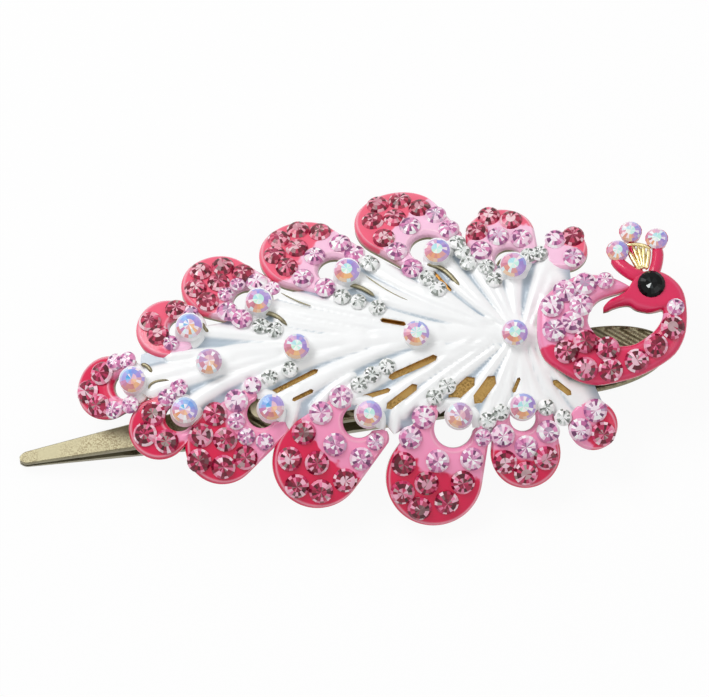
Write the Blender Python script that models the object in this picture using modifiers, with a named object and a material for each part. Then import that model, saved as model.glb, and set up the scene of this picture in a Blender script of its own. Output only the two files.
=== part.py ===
"""Rhinestone hair clip: a domed peacock ornament on a sprung two-jaw beak clip.

Frame: metres, +Z up, X along the clip (prong at -X, thumb tabs at +X).
The origin is in the middle of the lower jaw's flat underside.
The ornament is laid out flat, from places read on the reference picture, and then formed over a dome.
"""
import math

import bmesh
import bpy
from mathutils import Matrix, Vector

MM = 0.001

# Reference picture: size of a pixel, the pixel of the origin, and the viewing direction
PIXEL = 0.156 * MM
ORIGIN_PIXEL = (337.0, 413.6)
VIEW_TURN = math.radians(-9.1)
VIEW_RISE = math.radians(74.0)

# Dome of the ornament
DOME_RADIUS = 42.0 * MM
DROOP_START = -24.0 * MM
DROOP_RADIUS = 26.0 * MM
SPINE_HEIGHT = 10.6 * MM
SPINE_OFFSET = 5.5 * MM
FORM_STEP = 10.0 * MM

# Thicknesses above the underside of the casting
WEB_THICKNESS = 1.2 * MM
LOBE_PROUD = 0.06 * MM
SEAT_GAP = 0.25 * MM
BED_THICKNESS = 0.5 * MM
BED_INSET = 0.9 * MM
ARM_SHORT = 2.6 * MM
POST_HEIGHT = 2.9 * MM
POST_RADIUS = 1.5 * MM
POST_FLARE = 1.25
POST_ROOT = 0.3 * MM
POST_SIDES = 6
LOBE_SIDES = 7
DISC_SIDES = 14
HOLE_SIDES = 10
BED_SIDES = 8
ARC_SIDES = 6
BIRD_THICKNESS = 1.9 * MM
STALK_THICKNESS = 1.0 * MM
STALK_WIDTH = 1.3 * MM
STALK_LIFT = 0.2 * MM
STALK_STEP = 0.05 * MM
STALK_SIDES = 5
CUP_ROOT = 0.1 * MM
CUP_LOW_RADIUS = 1.425 * MM
CUP_HIGH_RADIUS = 1.35 * MM
CUP_SIDES = 8
BIRD_SMOOTH_STEPS = 3

# White ribs of the tail; each is a little higher than the one before it, so that no two tops are level
RIB_RISE = 0.55 * MM
RIB_STEP = 0.012 * MM
RIB_TOP_SHARE = 0.5
RIB_STATIONS = 4
ROW_SEAT_LIFT = 0.04 * MM
ROW_SEAT_SIDES = 5

# Stones: girdle diameters, and shares of the diameter for table and crown
AB_DIAMETER = 4.0 * MM
DARK_DIAMETER = 3.7 * MM
LIGHT_DIAMETER = 3.4 * MM
SMALL_DIAMETER = 2.65 * MM
CROWN_DIAMETER = 3.4 * MM
EYE_DIAMETER = 4.3 * MM
TABLE_SHARE = 0.56
CROWN_SHARE = 0.2
CULET_SHARE = 0.72
PAVE_SIDES = 6
GIRDLE_HEIGHT = 0.35 * MM
AB_SIDES = 8
ROW_WIDTH = 1.6 * MM
STRIP_THICKNESS = 0.4 * MM
STRIP_LIFT = 0.05 * MM
STRIP_SIDES = 2

# Clip: jaws of bent sheet, seen from the prong to the thumb tabs
PRONG_X = -50.0 * MM
TAB_X = 52.2 * MM
LOWER_TAB_X = 43.0 * MM
SHEET = 0.7 * MM
PRONG_HALF_WIDTH = 0.95 * MM
JAW_HALF_WIDTH = 3.6 * MM
TAB_HALF_WIDTH = 4.7 * MM
FLARE_LENGTH = 46.0 * MM
PRONG_TOP = 2.2 * MM
CREST_TOP = 8.6 * MM
HINGE_TOP = 8.2 * MM
TAB_TOP = 9.6 * MM
SKIRT_DEPTH = 1.7 * MM
WALL_HEIGHT = 2.0 * MM
TOOTH_DEPTH = 0.5 * MM
TOOTH_PITCH = 4.0 * MM
TOOTH_FROM = -34.0 * MM
TOOTH_COUNT = 10
EDGE_LIP = 0.15 * MM
LEAST_INSIDE = 0.1 * MM
LEAF_LENGTH = 12.22 * MM
LEAF_END_SHARE = 0.08
TAB_CURVE = 1.3
WALL_END = 9.0 * MM
WALL_FADE = 4.0 * MM
UPPER_SPACING = 4.0 * MM

# Hinge
HINGE_X = 27.0 * MM
HINGE_Z = 4.5 * MM
PIN_RADIUS = 0.75 * MM
PIN_CLEARANCE = 0.2 * MM
PIN_HEAD_RADIUS = 1.3 * MM
PIN_HEAD_LENGTH = 0.5 * MM
EAR_RADIUS = 2.0 * MM
EAR_THICKNESS = 0.8 * MM
EAR_CLEARANCE = 0.3 * MM
EAR_INSET = 0.02 * MM
EAR_SIDES = 9
EAR_REACH = 5.0 * MM
ROUND_SIDES = 14

# Spring
WIRE_RADIUS = 0.35 * MM
COIL_RADIUS = 1.75 * MM
COIL_PITCH = 1.25 * MM
COIL_TURNS = 3
COIL_POINTS = 10
LEG_LENGTH = 11.0 * MM
LEG_CLEARANCE = 0.2 * MM

# Solder joints
SOLDER_RADIUS = 2.2 * MM
SOLDER_TAPER = 0.8
SOLDER_SIDES = 10
SOLDER_FRONT_X = -12.0 * MM
SOLDER_REAR_X = 18.0 * MM

# Working values of the modelling steps
LAYOUT_STEP = 0.01 * MM
LAYOUT_ROUNDS = 20
WELD = 0.001 * MM
CUT_MERGE = 0.002 * MM
UNDERSIDE = -0.9

BED_FLOOR = WEB_THICKNESS + LOBE_PROUD + SEAT_GAP
BIRD_FLOOR = WEB_THICKNESS + LOBE_PROUD + SEAT_GAP
BIRD_TOP = BIRD_FLOOR + BIRD_THICKNESS
STONE_SIZES = {"d": DARK_DIAMETER, "l": LIGHT_DIAMETER, "s": SMALL_DIAMETER}


class Feather:
    """One feather lobe: its round end, its eye with the hole before it, and its stones."""

    def __init__(self, tip, tip_radius, eye, eye_radius, hole, hole_radius, stones):
        self.tip = tip
        self.tip_radius = tip_radius * MM
        self.eye = eye
        self.eye_radius = eye_radius * MM
        self.hole = hole
        self.hole_radius = hole_radius * MM
        self.stones = stones


# Places are picture pixels, radii are millimetres; d, l and s are dark, light and small stones
FEATHERS = [
    Feather((104, 388), 5.2, (134, 380), 4.0, (127, 385), 2.1,
            "d 104 374, d 90 392, d 101 406, s 117 363, s 129 361, s 116 410, s 132 405"),
    Feather((168, 328), 5.1, (190, 327), 3.8, (183, 329), 2.1,
            "d 151 323, d 177 311, d 159 336, s 172 344, s 191 314"),
    Feather((218, 285), 5.9, (259, 302), 4.6, (248, 301), 2.3,
            "d 201 273, d 223 268, d 243 275, d 196 290, d 219 284, d 208 303,"
            "s 226 296, s 238 286, l 228 313, l 242 320, l 257 284, s 273 290"),
    Feather((302, 253), 6.9, (347, 272), 5.0, (334, 270), 2.5,
            "d 279 241, d 298 232, d 320 234, d 275 257, d 297 250, d 287 269,"
            "l 340 245, l 315 258, l 303 280, l 325 289, l 355 256"),
    Feather((398, 221), 6.9, (437, 252), 5.2, (427, 248), 2.7,
            "d 377 204, d 399 199, d 419 207, d 372 221, d 394 219, d 383 239,"
            "l 436 217, l 410 228, l 449 231, l 397 253, l 412 270"),
    Feather((500, 236), 5.6, (513, 266), 4.4, (508, 259), 2.1,
            "d 489 218, d 511 222, d 477 233, l 498 238, l 521 240, l 481 252"),
    Feather((565, 250), 3.6, None, 0, None, 0, "l 555 241, d 573 238, l 573 259"),
    Feather((592, 425), 4.0, None, 0, None, 0, "l 594 410, l 579 429, d 602 433"),
    Feather((525, 453), 5.6, (522, 406), 4.6, (522, 418), 2.0,
            "l 502 435, l 525 446, l 547 431, d 504 461, d 525 472, d 545 457"),
    Feather((434, 478), 7.7, (459, 415), 5.2, (453, 428), 3.0,
            "l 423 417, l 410 437, d 403 463, d 426 482, l 437 460, l 471 458,"
            "d 462 481, d 402 491, d 419 507, d 446 501, s 482 437"),
    Feather((318, 462), 7.2, (369, 413), 5.2, (359, 421), 2.5,
            "d 304 432, d 290 458, d 317 462, d 297 485, d 321 490, d 345 479,"
            "l 341 397, l 321 413, l 335 444, l 361 458, s 375 441"),
    Feather((223, 446), 5.9, (272, 407), 4.8, (262, 413), 2.2,
            "d 216 414, d 202 435, d 226 439, d 200 460, d 224 466, d 246 457,"
            "l 237 401, s 253 386, s 237 421, s 247 436, s 265 441"),
    Feather((160, 428), 4.9, (186, 410), 3.8, (180, 417), 2.1,
            "d 155 414, d 146 434, d 168 442, s 168 398, s 180 388, s 152 451"),
]

SPINE_STONES = [(210, 362), (297, 347), (416, 334), (514, 333)]
CROWN_STONES = [(630, 233), (656, 240), (617, 252)]
CROWN_FOOT = (645, 275)
EYE_STONE = (650, 285)
BIRD_STONES = (
    "s 604 282, l 584 285, l 564 292, l 551 307, l 580 306, l 571 323, l 553 331, d 584 342, d 565 352,"
    "d 584 369, d 606 349, d 609 370, d 635 361, d 654 346, d 671 328, l 675 308"
)
CLEAR_ROWS = [
    [(261, 327), (275, 331)], [(342, 298), (358, 303), (377, 309)], [(373, 266), (377, 268)],
    [(427, 279), (438, 290)], [(457, 246), (462, 256), (466, 267)], [(489, 271), (496, 284)],
    [(529, 261), (541, 258)], [(545, 407), (562, 417)], [(487, 420), (500, 412)],
    [(434, 397), (447, 386)], [(359, 385), (372, 375), (387, 367)], [(270, 378), (290, 370)],
]
SLITS = [
    ((391, 376), (434, 358)), ((455, 398), (470, 380)), ((478, 399), (491, 378)), ((514, 388), (518, 380)),
    ((391, 405), (411, 389)), ((352, 404), (378, 396)), ((278, 390), (310, 373)), ((294, 401), (312, 390)),
    ((364, 275), (408, 300)), ((382, 321), (404, 325)), ((450, 290), (430, 268)), ((370, 293), (346, 287)),
]
SLIT_WIDTH = 1.1 * MM
# Ribs: the pixels where each starts, bends and ends, and its widths at both ends in millimetres
RIBS = [
    ((530, 335), (470, 333), (400, 337), 2.8, 2.6), ((404, 337), (300, 346), (205, 363), 2.6, 2.4),
    ((215, 361), (180, 370), (136, 380), 2.4, 2.6), ((330, 343), (255, 335), (192, 328), 1.0, 1.8),
    ((270, 349), (228, 355), (188, 355), 1.0, 1.5), ((400, 330), (330, 319), (262, 304), 1.1, 1.9),
    ((345, 341), (318, 339), (288, 334), 1.2, 1.7), ((470, 323), (410, 303), (350, 275), 1.1, 2.0),
    ((440, 327), (415, 321), (390, 314), 1.2, 1.7), ((480, 319), (428, 298), (380, 270), 1.0, 1.7),
    ((500, 323), (472, 292), (440, 256), 1.1, 2.0), ((470, 317), (459, 309), (446, 298), 1.2, 1.6),
    ((506, 321), (493, 297), (478, 272), 1.1, 1.6), ((516, 322), (514, 298), (513, 270), 1.2, 2.0),
    ((524, 322), (533, 298), (541, 277), 1.4, 2.0), ((300, 354), (240, 376), (190, 406), 1.0, 1.9),
    ((265, 358), (232, 367), (200, 376), 1.0, 1.6), ((400, 344), (335, 369), (276, 402), 1.1, 2.0),
    ((350, 349), (326, 356), (300, 365), 1.2, 1.7), ((480, 342), (424, 374), (373, 408), 1.1, 2.0),
    ((430, 349), (415, 355), (398, 362), 1.2, 1.6), ((506, 345), (482, 380), (462, 410), 1.2, 2.0),
    ((490, 350), (475, 362), (458, 376), 1.2, 1.7), ((486, 345), (440, 378), (404, 410), 1.0, 1.6),
    ((518, 346), (521, 375), (522, 400), 1.2, 2.2), ((511, 347), (500, 378), (490, 405), 1.1, 1.7),
    ((521, 348), (530, 374), (539, 395), 1.2, 1.7), ((527, 348), (541, 374), (553, 395), 1.3, 1.8),
    ((531, 349), (551, 376), (571, 400), 1.4, 2.0),
]
WEB_CORNERS = [
    (134, 380), (190, 327), (259, 302), (347, 272), (437, 252), (513, 266), (552, 256), (566, 258),
    (572, 300), (575, 345), (600, 408), (578, 420), (522, 406), (459, 415), (369, 413), (272, 407),
    (186, 410),
]
BIRD_BED = [
    (611, 277), (584, 278), (560, 285), (543, 305), (543, 336), (556, 358), (582, 377), (611, 379),
    (640, 369), (662, 352), (679, 330), (681, 302), (669, 304), (663, 323), (648, 337), (630, 351),
    (606, 341), (592, 333), (581, 318), (575, 302), (590, 295), (611, 288),
]
BIRD_OUTSIDE = [
    (627, 286), (611, 277), (590, 275), (571, 273), (553, 282), (536, 306), (536, 340), (548, 363),
    (574, 379), (605, 385), (637, 377), (666, 355), (684, 330), (685, 302), (674, 278), (650, 270),
    (634, 276),
]
BIRD_INSIDE = [
    (625, 289), (605, 294), (590, 306), (588, 322), (599, 339), (618, 346), (642, 339), (657, 323),
    (662, 310), (644, 310), (626, 303), (603, 310), (608, 298), (618, 292),
]


def formed(x, y, lift):
    """Place of a point of the flat layout, lifted off the underside, on the domed ornament."""
    across = y / DOME_RADIUS
    side = (DOME_RADIUS + lift) * math.sin(across)
    height = (DOME_RADIUS + lift) * math.cos(across) - DOME_RADIUS
    if x < DROOP_START:
        along = (DROOP_START - x) / DROOP_RADIUS
        x = DROOP_START - (DROOP_RADIUS + height) * math.sin(along)
        height = (DROOP_RADIUS + height) * math.cos(along) - DROOP_RADIUS
    return Vector((x, side + SPINE_OFFSET, height + SPINE_HEIGHT))


def picture(point):
    """Pixel at which a place of the part shows."""
    right = Vector((math.cos(VIEW_TURN), math.sin(VIEW_TURN), 0))
    ahead = Vector((-math.sin(VIEW_TURN), math.cos(VIEW_TURN), 0))
    up = ahead * math.sin(VIEW_RISE) + Vector((0, 0, math.cos(VIEW_RISE)))
    return Vector((ORIGIN_PIXEL[0] + point.dot(right) / PIXEL, ORIGIN_PIXEL[1] - point.dot(up) / PIXEL))


def flat(pixel, lift=WEB_THICKNESS):
    """Point of the flat layout that shows at a pixel, found by Newton steps."""
    x, y, step = 0.0, 0.0, LAYOUT_STEP
    for _ in range(LAYOUT_ROUNDS):
        here = picture(formed(x, y, lift))
        by_x = (picture(formed(x + step, y, lift)) - here) / step
        by_y = (picture(formed(x, y + step, lift)) - here) / step
        miss = Vector(pixel) - here
        scale = by_x.x * by_y.y - by_x.y * by_y.x
        x += (miss.x * by_y.y - miss.y * by_y.x) / scale
        y += (by_x.x * miss.y - by_x.y * miss.x) / scale
    return Vector((x, y))


def circle(centre, radius, sides, start=0.0, turn=2 * math.pi):
    """Points round a centre; a full turn leaves out the repeated last point."""
    count = sides if turn >= 2 * math.pi else sides + 1
    angles = [start + turn * i / sides for i in range(count)]
    return [centre + radius * Vector((math.cos(a), math.sin(a))) for a in angles]


def capsule(one, one_radius, other, other_radius, sides):
    """Outline round two circles, with straight sides between them."""
    towards = other - one
    lean = math.acos(max(-1.0, min(1.0, (one_radius - other_radius) / towards.length)))
    heading = math.atan2(towards.y, towards.x)
    first = circle(one, one_radius, sides, heading + lean, 2 * (math.pi - lean))
    return first + circle(other, other_radius, sides, heading - lean, 2 * lean)


def take_mesh(thing):
    """Mesh of an object as evaluated; the object is removed."""
    bpy.context.view_layer.update()
    graph = bpy.context.evaluated_depsgraph_get()
    mesh = bpy.data.meshes.new_from_object(thing.evaluated_get(graph))
    bpy.data.objects.remove(thing)
    return mesh


def take_welded_mesh(thing):
    """Mesh of an object as evaluated, with its caps or seam welded; the object is removed."""
    mesh = take_mesh(thing)
    work = bmesh.new()
    work.from_mesh(mesh)
    bmesh.ops.remove_doubles(work, verts=work.verts, dist=WELD)
    bmesh.ops.recalc_face_normals(work, faces=work.faces)
    work.to_mesh(mesh)
    work.free()
    return mesh


def plate(loops, bottom, top, smooth_steps=0):
    """Flat plate from closed outlines, the later ones holes; smooth_steps rounds the outline."""
    data = bpy.data.curves.new("plate", "CURVE")
    data.dimensions = "2D"
    data.fill_mode = "BOTH"
    data.extrude = (top - bottom) / 2
    for loop in loops:
        if smooth_steps:
            spline = data.splines.new("BEZIER")
            spline.resolution_u = smooth_steps
            spline.bezier_points.add(len(loop) - 1)
            for knot, place in zip(spline.bezier_points, loop):
                knot.co = (place[0], place[1], 0)
                knot.handle_left_type = knot.handle_right_type = "AUTO"
        else:
            spline = data.splines.new("POLY")
            spline.points.add(len(loop) - 1)
            for knot, place in zip(spline.points, loop):
                knot.co = (place[0], place[1], 0, 1)
        spline.use_cyclic_u = True
    thing = bpy.data.objects.new("plate", data)
    bpy.context.scene.collection.objects.link(thing)
    mesh = take_welded_mesh(thing)
    bpy.data.curves.remove(data)
    mesh.transform(Matrix.Translation((0, 0, (top + bottom) / 2)))
    return mesh


def frustum(centre, low_radius, high_radius, bottom, top, sides, turn=0.0):
    """Upright round solid between two heights."""
    work = bmesh.new()
    place = Matrix.Translation((centre[0], centre[1], (top + bottom) / 2)) @ Matrix.Rotation(turn, 4, "Z")
    bmesh.ops.create_cone(work, cap_ends=True, segments=sides, radius1=low_radius, radius2=high_radius,
                          depth=top - bottom, matrix=place)
    mesh = bpy.data.meshes.new("frustum")
    work.to_mesh(mesh)
    work.free()
    return mesh


def chaton(centre, diameter, bottom, girdle, sides):
    """Cut stone: a foot that widens to the girdle, and a crown with a flat table."""
    radius = diameter / 2
    table = girdle + CROWN_SHARE * diameter
    work = bmesh.new()
    place = Matrix.Translation((centre[0], centre[1], (girdle + table) / 2))
    bmesh.ops.create_cone(work, cap_ends=True, segments=sides, radius1=radius, radius2=radius * TABLE_SHARE,
                          depth=table - girdle, matrix=place)
    base = [face for face in work.faces if face.normal.z < UNDERSIDE]
    foot = bmesh.ops.extrude_face_region(work, geom=base)["geom"]
    bmesh.ops.delete(work, geom=base, context="FACES_ONLY")
    corners = [item for item in foot if isinstance(item, bmesh.types.BMVert)]
    for corner in corners:
        corner.co.x = centre[0] + (corner.co.x - centre[0]) * CULET_SHARE
        corner.co.y = centre[1] + (corner.co.y - centre[1]) * CULET_SHARE
        corner.co.z = bottom
    bmesh.ops.recalc_face_normals(work, faces=work.faces)
    mesh = bpy.data.meshes.new("chaton")
    work.to_mesh(mesh)
    work.free()
    return mesh


def crown(place, diameter, bed_floor, bed_top):
    """Crown of a stone that is sunk in a resin bed to its girdle."""
    foot = (bed_floor + bed_top) / 2
    table = bed_top + CROWN_SHARE * diameter
    return frustum(place, diameter / 2, diameter / 2 * TABLE_SHARE, foot, table, PAVE_SIDES)


def closed(mesh):
    """Mesh in which a sliver of wall that a Boolean dropped is filled again."""
    work = bmesh.new()
    work.from_mesh(mesh)
    bmesh.ops.holes_fill(work, edges=[edge for edge in work.edges if edge.is_boundary])
    bmesh.ops.recalc_face_normals(work, faces=work.faces)
    work.to_mesh(mesh)
    work.free()
    return mesh


def combined(mesh, others, operation="UNION"):
    """Mesh after a Boolean with each of the other meshes in turn."""
    for other in others:
        base = bpy.data.objects.new("base", mesh)
        tool = bpy.data.objects.new("tool", other)
        for thing in (base, tool):
            bpy.context.scene.collection.objects.link(thing)
        modifier = base.modifiers.new("boolean", "BOOLEAN")
        modifier.object = tool
        modifier.operation = operation
        mesh = closed(take_mesh(base))
        bpy.data.objects.remove(tool)
    return mesh


def loft(sections):
    """Closed solid through sections that have the same number of corners."""
    work = bmesh.new()
    rings = [[work.verts.new(corner) for corner in section] for section in sections]
    for near, far in zip(rings, rings[1:]):
        for i in range(len(near)):
            j = (i + 1) % len(near)
            work.faces.new((near[i], near[j], far[j], far[i]))
    work.faces.new(rings[0])
    work.faces.new(list(reversed(rings[-1])))
    bmesh.ops.triangulate(work, faces=work.faces)
    bmesh.ops.recalc_face_normals(work, faces=work.faces)
    mesh = bpy.data.meshes.new("loft")
    work.to_mesh(mesh)
    work.free()
    return mesh


def cut_along_dome(mesh):
    """Flat-layout mesh cut in strips, so that it can follow the dome."""
    work = bmesh.new()
    work.from_mesh(mesh)
    reach = max(max(abs(corner.co.x), abs(corner.co.y)) for corner in work.verts)
    steps = int(reach / FORM_STEP) + 1
    cuts = [((0, i * FORM_STEP, 0), (0, 1, 0)) for i in range(-steps, steps + 1)]
    cuts += [((DROOP_START - i * FORM_STEP, 0, 0), (1, 0, 0)) for i in range(steps)]
    for place, normal in cuts:
        everything = work.verts[:] + work.edges[:] + work.faces[:]
        bmesh.ops.bisect_plane(work, geom=everything, dist=CUT_MERGE, plane_co=place, plane_no=normal)
    work.to_mesh(mesh)
    work.free()
    return mesh


def form_over_dome(mesh):
    """Flat-layout mesh bent to its place on the dome."""
    work = bmesh.new()
    work.from_mesh(mesh)
    bmesh.ops.triangulate(work, faces=work.faces)
    for corner in work.verts:
        corner.co = formed(*corner.co)
    bmesh.ops.recalc_face_normals(work, faces=work.faces)
    work.to_mesh(mesh)
    work.free()
    return mesh


def read_stones(text, floor=BED_FLOOR):
    """Stones of a list written as kind and pixel, with commas between them."""
    entries = [entry.split() for entry in text.split(",") if entry.strip()]
    return [(STONE_SIZES[kind], flat((float(x), float(y)), floor)) for kind, x, y in entries]


class Workshop:
    """Materials, collection and joint empty that the pieces go to."""

    def __init__(self):
        for thing in list(bpy.data.objects):
            bpy.data.objects.remove(thing)
        self.collection = bpy.data.collections.new("rhinestone_hair_clip")
        bpy.context.scene.collection.children.link(self.collection)
        self.hinge = bpy.data.objects.new("hinge_axis", None)
        self.hinge.location = (HINGE_X, 0, HINGE_Z)
        self.collection.objects.link(self.hinge)
        self.materials = {}

    def material(self, name, colour, roughness, metallic):
        """Plain finish, kept under its name."""
        finish = bpy.data.materials.new(name)
        finish.use_nodes = True
        shader = finish.node_tree.nodes["Principled BSDF"]
        shader.inputs["Base Color"].default_value = (*colour, 1)
        shader.inputs["Roughness"].default_value = roughness
        shader.inputs["Metallic"].default_value = metallic
        self.materials[name] = finish

    def add(self, name, mesh, finish, moves=True):
        """Piece from a mesh in part space; a moving one hangs on the hinge empty."""
        mesh.name = name
        mesh.materials.clear()
        mesh.materials.append(self.materials[finish])
        thing = bpy.data.objects.new(name, mesh)
        self.collection.objects.link(thing)
        if moves:
            mesh.transform(Matrix.Translation((-HINGE_X, 0, -HINGE_Z)))
            thing.parent = self.hinge


def rib(start, middle, end, start_width, end_width, rise):
    """White rib along a curve through three places, sunk in the web, with sloped sides."""
    bend = 2 * middle - (start + end) / 2
    sections = []
    for i in range(RIB_STATIONS + 1):
        share = i / RIB_STATIONS
        place = start * (1 - share) ** 2 + bend * 2 * share * (1 - share) + end * share ** 2
        way = ((bend - start) * (1 - share) + (end - bend) * share).normalized()
        half = (start_width + (end_width - start_width) * share) / 2
        low = Vector((-way.y, way.x)) * half
        high = low * RIB_TOP_SHARE
        foot, top = WEB_THICKNESS / 2, WEB_THICKNESS + rise
        corners = [(place - low, foot), (place + low, foot), (place + high, top), (place - high, top)]
        sections.append([(spot.x, spot.y, lift) for spot, lift in corners])
    return loft(sections)


def tail_ribs():
    """White ribs from the spine to the feathers."""
    ribs = []
    for i, (start, middle, end, start_width, end_width) in enumerate(RIBS):
        rise = RIB_RISE + RIB_STEP * i
        ribs.append(rib(flat(start), flat(middle), flat(end), start_width * MM, end_width * MM, rise))
    return ribs


def row_seats():
    """Cutters that clear the ribs away where rows of small stones sit."""
    low, high = WEB_THICKNESS + LOBE_PROUD + ROW_SEAT_LIFT, BED_FLOOR + WEB_THICKNESS
    radius = SMALL_DIAMETER / 2 + 2 * SEAT_GAP
    seats = []
    for row in CLEAR_ROWS:
        places = [flat(pixel, BED_FLOOR) for pixel in row]
        for one, other in zip(places, places[1:]):
            seats.append(plate([capsule(one, radius, other, radius, ROW_SEAT_SIDES)], low, high))
    return seats


def tail_fan():
    """White web with slits and ribs, pink lobes with their holes, and the posts of the big stones."""
    web = plate([[flat(corner) for corner in WEB_CORNERS]], 0, WEB_THICKNESS)
    below, above = -WEB_THICKNESS, 2 * WEB_THICKNESS
    openings = []
    for one, other in SLITS:
        slit = capsule(flat(one), SLIT_WIDTH / 2, flat(other), SLIT_WIDTH / 2, STRIP_SIDES)
        openings.append(plate([slit], below, above))
    web = combined(web, openings, "DIFFERENCE")
    lobes, holes = [], []
    for feather in FEATHERS:
        tip = flat(feather.tip)
        if feather.eye:
            outline = capsule(tip, feather.tip_radius, flat(feather.eye), feather.eye_radius, LOBE_SIDES)
            holes.append(plate([circle(flat(feather.hole), feather.hole_radius, HOLE_SIDES)], below, above))
        else:
            outline = circle(tip, feather.tip_radius, DISC_SIDES)
        lobes.append(plate([outline], -LOBE_PROUD, WEB_THICKNESS + LOBE_PROUD))
    web = combined(combined(combined(web, lobes), tail_ribs()), row_seats() + holes, "DIFFERENCE")
    web = cut_along_dome(web)
    posts = []
    for pixel in big_stone_places():
        foot = flat(pixel, POST_HEIGHT)
        posts.append(frustum(foot, POST_RADIUS * POST_FLARE, POST_RADIUS, POST_ROOT, POST_HEIGHT, POST_SIDES))
    return form_over_dome(combined(web, posts))


def big_stone_places():
    """Pixels of the feather eyes, then of the spine stones."""
    return [feather.eye for feather in FEATHERS if feather.eye] + SPINE_STONES


def pave_bed(feather):
    """Outline of a feather's resin bed: a horseshoe round the hole, or a disc."""
    tip = flat(feather.tip)
    if not feather.eye:
        return circle(tip, feather.tip_radius - BED_INSET, 2 * ARC_SIDES)
    eye = flat(feather.eye)
    both_ends = capsule(tip, feather.tip_radius - BED_INSET, eye, feather.eye_radius - BED_INSET, BED_SIDES)
    outside = both_ends[:BED_SIDES + 1]
    back = (tip - eye).normalized()
    across = Vector((-back.y, back.x))
    inner = max(feather.hole_radius, POST_RADIUS * POST_FLARE) + BED_INSET / 2
    arm = max(feather.eye_radius - BED_INSET, inner + BED_INSET)
    arm_end = eye + back * ARM_SHORT
    heading = math.atan2(back.y, back.x)
    inside = circle(flat(feather.hole), inner, ARC_SIDES, heading + math.pi / 2, -math.pi)
    return outside + [arm_end + arm * across] + inside + [arm_end - arm * across]


def resin_strip(one, other, floor):
    """Narrow strip of resin from one stone to another."""
    outline = capsule(one, ROW_WIDTH / 2, other, ROW_WIDTH / 2, STRIP_SIDES)
    return plate([outline], floor, floor + STRIP_THICKNESS)


def feather_pave(feather):
    """Resin bed of one feather with its stones; a stone past the bed hangs on a strip."""
    bed_top = BED_FLOOR + BED_THICKNESS
    bed = cut_along_dome(plate([pave_bed(feather)], BED_FLOOR, bed_top))
    stones = read_stones(feather.stones)
    links = set()
    for i, (_, place) in enumerate(stones):
        if feather.eye:
            back = (flat(feather.tip) - flat(feather.eye)).normalized()
            if (place - flat(feather.eye)).dot(back) < ARM_SHORT + BED_INSET:
                near = sorted(range(len(stones)), key=lambda j: (stones[j][1] - place).length)[1]
                links.add((min(i, near), max(i, near)))
    strip_floor = BED_FLOOR + STRIP_LIFT
    parts = [resin_strip(stones[i][1], stones[j][1], strip_floor) for i, j in sorted(links)]
    parts += [crown(place, diameter, BED_FLOOR, bed_top) for diameter, place in stones]
    return form_over_dome(combined(bed, parts))


def clear_row(pixels):
    """Row of small stones in a resin strip."""
    places = [flat(pixel, BED_FLOOR) for pixel in pixels]
    bed_top = BED_FLOOR + BED_THICKNESS
    parts = [resin_strip(one, other, BED_FLOOR) for one, other in zip(places, places[1:])]
    parts += [crown(place, SMALL_DIAMETER, BED_FLOOR, bed_top) for place in places]
    return form_over_dome(combined(parts[0], parts[1:]))


def bird_pave():
    """Resin bed along the bird's breast and neck with its stones."""
    floor = BIRD_TOP + SEAT_GAP
    bed_top = floor + BED_THICKNESS
    bed = cut_along_dome(plate([[flat(pixel, floor) for pixel in BIRD_BED]], floor, bed_top))
    stones = [crown(place, diameter, floor, bed_top) for diameter, place in read_stones(BIRD_STONES, floor)]
    return form_over_dome(combined(bed, stones))


def bird_body():
    """Bird with its neck loop and the three crown stalks."""
    outside = [flat(pixel, BIRD_TOP) for pixel in BIRD_OUTSIDE]
    inside = [flat(pixel, BIRD_TOP) for pixel in BIRD_INSIDE]
    body = cut_along_dome(plate([outside, inside], BIRD_FLOOR, BIRD_TOP, BIRD_SMOOTH_STEPS))
    foot = flat(CROWN_FOOT, BIRD_TOP)
    stalks = []
    for i, pixel in enumerate(CROWN_STONES):
        end = flat(pixel, POST_HEIGHT)
        low = BIRD_FLOOR + STALK_LIFT + STALK_STEP * i
        outline = capsule(foot, STALK_WIDTH / 2, end, POST_RADIUS, STALK_SIDES)
        stalks.append(plate([outline], low, low + STALK_THICKNESS))
        stalks.append(frustum(end, CUP_LOW_RADIUS, CUP_HIGH_RADIUS, low + CUP_ROOT, POST_HEIGHT, CUP_SIDES))
    return form_over_dome(combined(body, stalks))


def single_stone(pixel, diameter, floor, sides):
    """One big stone on its seat."""
    place = flat(pixel, floor)
    return form_over_dome(chaton(place, diameter, floor, floor + GIRDLE_HEIGHT, sides))


def jaw_half_width(x, tab_end):
    """Half width of a jaw: flared from the prong, wider at the hinge, and a leaf at the thumb tab."""
    share = min(1.0, (x - PRONG_X) / FLARE_LENGTH)
    width = PRONG_HALF_WIDTH + (JAW_HALF_WIDTH - PRONG_HALF_WIDTH) * share
    waist = HINGE_X - 4 * EAR_RADIUS
    if x > waist:
        share = min(1.0, (x - waist) / (2 * EAR_RADIUS))
        width += (TAB_HALF_WIDTH - JAW_HALF_WIDTH) * share
    leaf = tab_end - LEAF_LENGTH
    if x > leaf:
        width *= math.sqrt(max(LEAF_END_SHARE, 1 - ((x - leaf) / (tab_end - leaf)) ** 2))
    return width


def jaw_top(x):
    """Height of the upper jaw's top: an arch to the crest, a dip at the hinge, a rise to the tab."""
    if x < 0:
        return PRONG_TOP + (CREST_TOP - PRONG_TOP) * math.sin(math.pi / 2 * (x - PRONG_X) / -PRONG_X)
    if x < HINGE_X:
        return CREST_TOP + (HINGE_TOP - CREST_TOP) * (x / HINGE_X) ** 2
    return HINGE_TOP + (TAB_TOP - HINGE_TOP) * ((x - HINGE_X) / (TAB_X - HINGE_X)) ** TAB_CURVE


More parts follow.
